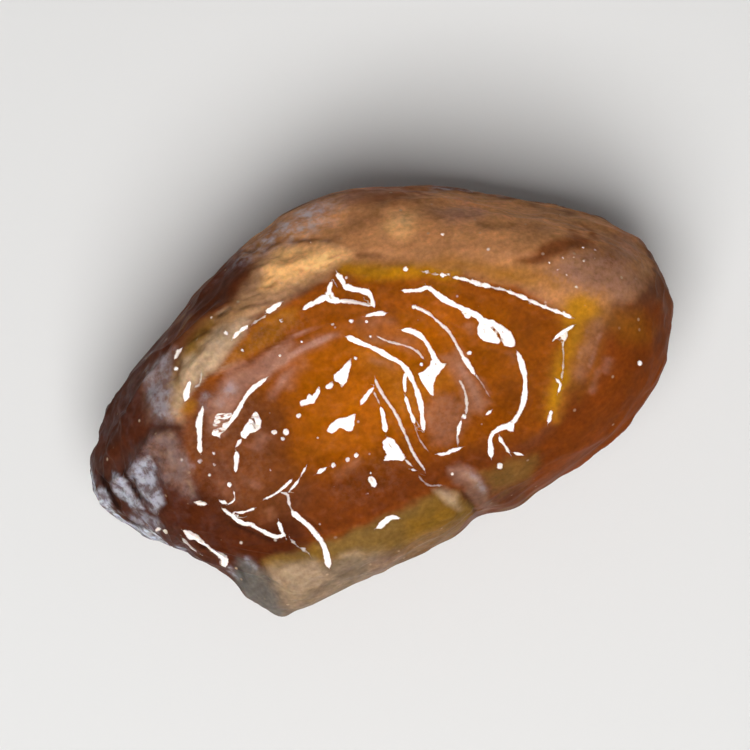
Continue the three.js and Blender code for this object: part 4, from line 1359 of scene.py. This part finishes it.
def brushed_streaks(tree, place, satin):
    """A shade that streaks along the fruit where the skin isn't clear, and is 1 where it is."""
    stretched = vector_arithmetic(tree, "MULTIPLY", place, BRUSHED)
    brushed = noise_between(tree, stretched, 1.0, 0.96, 1.04)
    return node(tree, "ShaderNodeMix", {0: satin, 2: 1.0, 3: brushed}, data_type="FLOAT").outputs[0]


def crease_depth(tree, place):
    """How far inside a crease, pucker or bead the surface lies, in millimetres, with a ragged edge."""
    away = vector_arithmetic(tree, "ABSOLUTE", attribute(tree, "crease_offsets", "Vector"))
    inside = vector_arithmetic(tree, "SUBTRACT", attribute(tree, "crease_halves", "Vector"), away)
    layers = node(tree, "ShaderNodeSeparateXYZ", {0: inside}).outputs
    depth = attribute(tree, "pucker_depth")
    for layer in layers:
        depth = larger(tree, depth, layer)
    return arithmetic(tree, "ADD", depth, noise_between(tree, place, RAGGED_EDGE, -0.04, 0.04))


def droplet_depth(tree, cells, chance, satin):
    """How far inside a droplet the surface lies: a few of the cells' middles on the cheek."""
    droplet = between(tree, cells.outputs["Distance"], 0.0, 0.2, 0.11, -0.11)
    rare = between(tree, arithmetic(tree, "SUBTRACT", chance, satin), 0.60, 0.62, -1.0, 0.0)
    return arithmetic(tree, "ADD", droplet, rare)


def tent_normals(tree, settings, depth, pores):
    """The creases' normals, which stand up like small tents on level ground, and the same with pores."""
    own = node(tree, "ShaderNodeNewGeometry").outputs["Normal"]
    level = between(tree, depth, -0.05, 0.0, 0.0, 1.0)
    ground = node(tree, "ShaderNodeMix", {0: level, 4: own, 5: (0.0, 0.0, 1.0)}, data_type="VECTOR")
    ground = vector_arithmetic(tree, "NORMALIZE", ground.outputs[1])
    tent = multiply(tree, larger(tree, depth, 0.0), settings.crease_slope)
    crisp = node(tree, "ShaderNodeBump", {"Height": tent, "Strength": 1.0, "Distance": MM, "Normal": ground})
    porous = node(
        tree, "ShaderNodeBump",
        {"Height": pores, "Strength": 0.35, "Distance": 0.03 * MM, "Normal": crisp.outputs[0]},
    )
    return crisp.outputs[0], porous.outputs[0]


def dusted_tint(tree, settings, place, brushed, dust):
    """The painted colour, made uneven, with haze and painted sheen in fine specks, and bloom and painted
    sheen broken up by the dust.
    """
    tint = attribute(tree, "tint", "Color")
    clouds = noise_between(tree, place, CLOUDS, 0.84, 1.16)
    grainy = noise_between(tree, place, FINE_GRAIN, 0.83, 1.17)
    for shade in (clouds, grainy, brushed):
        tint = vector_arithmetic(tree, "MULTIPLY", tint, shade)

    # Haze and painted sheen in fine specks.
    speckle = cloudy(tree, place, HAZE_AND_SHEEN_SPECKS, 5.0, Roughness=0.65)
    hazy_and_sheen = multiply(tree, attribute(tree, "hazy_and_sheen"), between(tree, speckle, 0.42, 0.62, 0.0, 2.0))
    tint = paint_over(tree, tint, hazy_and_sheen, settings.haze_and_sheen_colour)
    dusty = between(tree, dust, 0.40, 0.60, 0.3, 1.35)
    # Bloom and painted sheen, broken up by the dust.
    return paint_over(tree, tint, multiply(tree, attribute(tree, "bloom_and_sheen"), dusty), settings.bloom_and_sheen_colour)


def skin_material(settings):
    material, tree, shader = new_material("date_skin")
    place = node(tree, "ShaderNodeTexCoord").outputs["Object"]
    satin = attribute(tree, "satin")
    brushed = brushed_streaks(tree, place, satin)
    dust = cloudy(tree, place, DUST, 4.0, Roughness=0.6)
    tint = dusted_tint(tree, settings, place, brushed, dust)

    # Tiny sugar specks: the few cells whose middles lie at the skin, some brighter than others.
    cells = node(tree, "ShaderNodeTexVoronoi", {"Vector": place, "Scale": SUGAR})
    dots = between(tree, cells.outputs["Distance"], 0.06, 0.14, 1.0, 0.0)
    chance = node(tree, "ShaderNodeSeparateColor", {0: cells.outputs["Color"]}).outputs[0]
    specks = multiply(tree, dots, between(tree, chance, 0.35, 1.0, 0.0, 1.0))
    tint = paint_over(tree, tint, multiply(tree, specks, satin), settings.husk_colour)

    # Creases, puckers, beads and droplets: painted shade in rust colour just beside them, and a pale painted
    # highlight on them, paler where they gleam more.
    droplet = droplet_depth(tree, cells, chance, satin)
    depth = larger(tree, crease_depth(tree, place), droplet)
    on_crease = between(tree, depth, -0.03, 0.04, 0.0, 1.0)
    # Painted shade: a thin rim of rust colour just outside each crease, where its foot would lie in shade.
    beside = between(tree, depth, -0.24, -0.02, 0.0, 1.0)
    tint = paint_over(tree, tint, multiply(tree, beside, 0.18), settings.rust_colour)
    gleam = larger(tree, attribute(tree, "gleam"), between(tree, droplet, -0.05, 0.0, 0.0, 0.8))
    # Painted highlight: the creases are painted pale, more so where they gleam.
    painted_highlight = multiply(tree, on_crease, between(tree, gleam, 0.0, 1.0, 0.15, 0.8))
    tint = paint_over(tree, tint, painted_highlight, settings.crease_highlight_colour)
    tree.links.new(tint, shader.inputs["Base Color"])

    # The coat of juice.
    wet = attribute(tree, "wet")
    tree.links.new(between(tree, wet, 0.0, 0.4, 0.46, 0.22), shader.inputs["Roughness"])
    thick = between(tree, depth, 0.0, 0.15, 0.3, 1.0)
    glint = multiply(tree, thick, noise_between(tree, place, GLINTS, 0.8, 1.1))
    shiny = larger(tree, wet, multiply(tree, multiply(tree, gleam, on_crease), glint))
    tree.links.new(larger(tree, shiny, multiply(tree, specks, 0.4)), shader.inputs["Coat Weight"])
    shader.inputs["Coat Roughness"].default_value = 0.08
    shader.inputs["Coat IOR"].default_value = 2.3
    shader.inputs["Specular IOR Level"].default_value = 0.015
    shader.inputs["Subsurface Weight"].default_value = 0.3
    shader.inputs["Subsurface Radius"].default_value = (1.0, 0.32, 0.08)
    shader.inputs["Subsurface Scale"].default_value = 0.7 * MM

    crisp, porous = tent_normals(tree, settings, depth, arithmetic(tree, "ADD", dust, brushed))
    tree.links.new(porous, shader.inputs["Normal"])
    tree.links.new(crisp, shader.inputs["Coat Normal"])
    return material


def floor_material(settings):
    material, tree, shader = new_material("studio_floor")
    shader.inputs["Base Color"].default_value = (*settings.floor_colour, 1.0)
    shader.inputs["Roughness"].default_value = 0.6
    shader.inputs["Specular IOR Level"].default_value = 0.0
    return material


# ---------------------------------------------------------------- the stage


def add_softbox(name, target, azimuth, elevation, distance, size, power, diffuse=True, glossy=True):
    """An area light that looks at the target. Azimuth is from +X towards +Y, elevation from the floor."""
    around, above = np.radians((azimuth, elevation))
    away = Vector((np.cos(above) * np.cos(around), np.cos(above) * np.sin(around), np.sin(above)))
    light = bpy.data.lights.new(name, "AREA")
    light.shape = "RECTANGLE"
    light.size, light.size_y = size
    light.energy = power
    lamp = bpy.data.objects.new(name, light)
    lamp.location = target + away * distance
    lamp.rotation_euler = away.to_track_quat("Z", "Y").to_euler()
    lamp.visible_diffuse = diffuse
    lamp.visible_glossy = glossy
    bpy.context.scene.collection.objects.link(lamp)


def add_lights(target, settings):
    """One softbox that lights the scene, and a ring of them that only the glossy skin mirrors."""
    add_softbox(
        "key", target, azimuth=240.0, elevation=66.0, distance=0.50, size=(0.34, 0.34),
        power=settings.key_power, glossy=False,
    )
    for number in range(GLEAM_COUNT):
        add_softbox(
            f"gleam_{number}", target, azimuth=360.0 / GLEAM_COUNT * number, elevation=47.0, distance=0.40,
            size=(0.34, 0.30), power=settings.gleam_power, diffuse=False,
        )


def set_sky(scene, strength):
    world = bpy.data.worlds.new("studio_sky")
    world.use_nodes = True
    background = world.node_tree.nodes["Background"].inputs
    background["Color"].default_value = (1.0, 1.0, 1.0, 1.0)
    background["Strength"].default_value = strength
    world.cycles_visibility.glossy = False
    scene.world = world


def add_camera(scene, target, settings):
    """A camera straight above the fruit, turned so that the fruit's tip points up to the right."""
    view = bpy.data.cameras.new("camera")
    view.lens = settings.lens
    view.clip_start = 0.005
    shown = 2 * HALF[0] * MM / FRUIT_SHARE
    camera = bpy.data.objects.new("camera", view)
    camera.location = target + Vector((0.0, 0.0, shown * settings.lens / view.sensor_width))
    camera.rotation_euler = (0.0, 0.0, -settings.fruit_turn)
    scene.collection.objects.link(camera)
    scene.camera = camera


# ---------------------------------------------------------------- operators


class OBJECT_OT_date_skin(bpy.types.Operator):
    """Model the date's skin round the frame's solid, with its sunken cheek, folds and wrinkles"""

    bl_idname = "object.date_skin"
    bl_label = "Date Skin"
    bl_options = {"REGISTER", "UNDO"}

    def execute(self, context):
        settings = context.scene.date_skin
        guide = smooth_guide()
        skin = fine_ball()
        skin.name = "date_skin"
        draw_onto(skin, guide)
        painted = shape_skin(skin, settings)
        paint_skin(skin, settings, *painted)
        skin.data.materials.clear()
        skin.data.materials.append(skin_material(settings))
        make_active(skin)
        bpy.ops.object.shade_smooth()
        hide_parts("date")
        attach(skin, "root")
        return {"FINISHED"}


class OBJECT_OT_date_stage(bpy.types.Operator):
    """Lay the pale floor and set the soft lights and the camera"""

    bl_idname = "object.date_stage"
    bl_label = "Stage"
    bl_options = {"REGISTER", "UNDO"}

    def execute(self, context):
        settings = context.scene.date_stage
        deselect_all()
        bpy.ops.mesh.primitive_plane_add(size=1.2)
        floor = context.object
        floor.name = "studio_floor"
        floor.data.materials.append(floor_material(settings))

        middle = Vector(CENTRE * MM)
        add_lights(middle, settings)
        set_sky(context.scene, settings.sky)
        add_camera(context.scene, middle, settings)
        context.scene.view_settings.view_transform = "Standard"
        return {"FINISHED"}


class VIEW3D_PT_date(bpy.types.Panel):
    """The steps that make the date and its stage"""

    bl_label = "Ripe Date"
    bl_space_type = "VIEW_3D"
    bl_region_type = "UI"
    bl_category = "Date"

    def draw(self, context):
        for settings, operator in (
            (context.scene.date_skin, OBJECT_OT_date_skin),
            (context.scene.date_stage, OBJECT_OT_date_stage),
        ):
            box = self.layout.box()
            box.operator(operator.bl_idname)
            for name in settings.__annotations__:
                box.prop(settings, name)


CLASSES = (DateSkinSettings, DateStageSettings, OBJECT_OT_date_skin, OBJECT_OT_date_stage, VIEW3D_PT_date)


def register():
    for item in CLASSES:
        bpy.utils.register_class(item)
    bpy.types.Scene.date_skin = PointerProperty(type=DateSkinSettings)
    bpy.types.Scene.date_stage = PointerProperty(type=DateStageSettings)


def unregister():
    del bpy.types.Scene.date_stage
    del bpy.types.Scene.date_skin
    for item in reversed(CLASSES):
        bpy.utils.unregister_class(item)


def main():
    register()
    bpy.ops.object.date_skin()
    bpy.ops.object.date_stage()


if __name__ == "__main__":
    main()
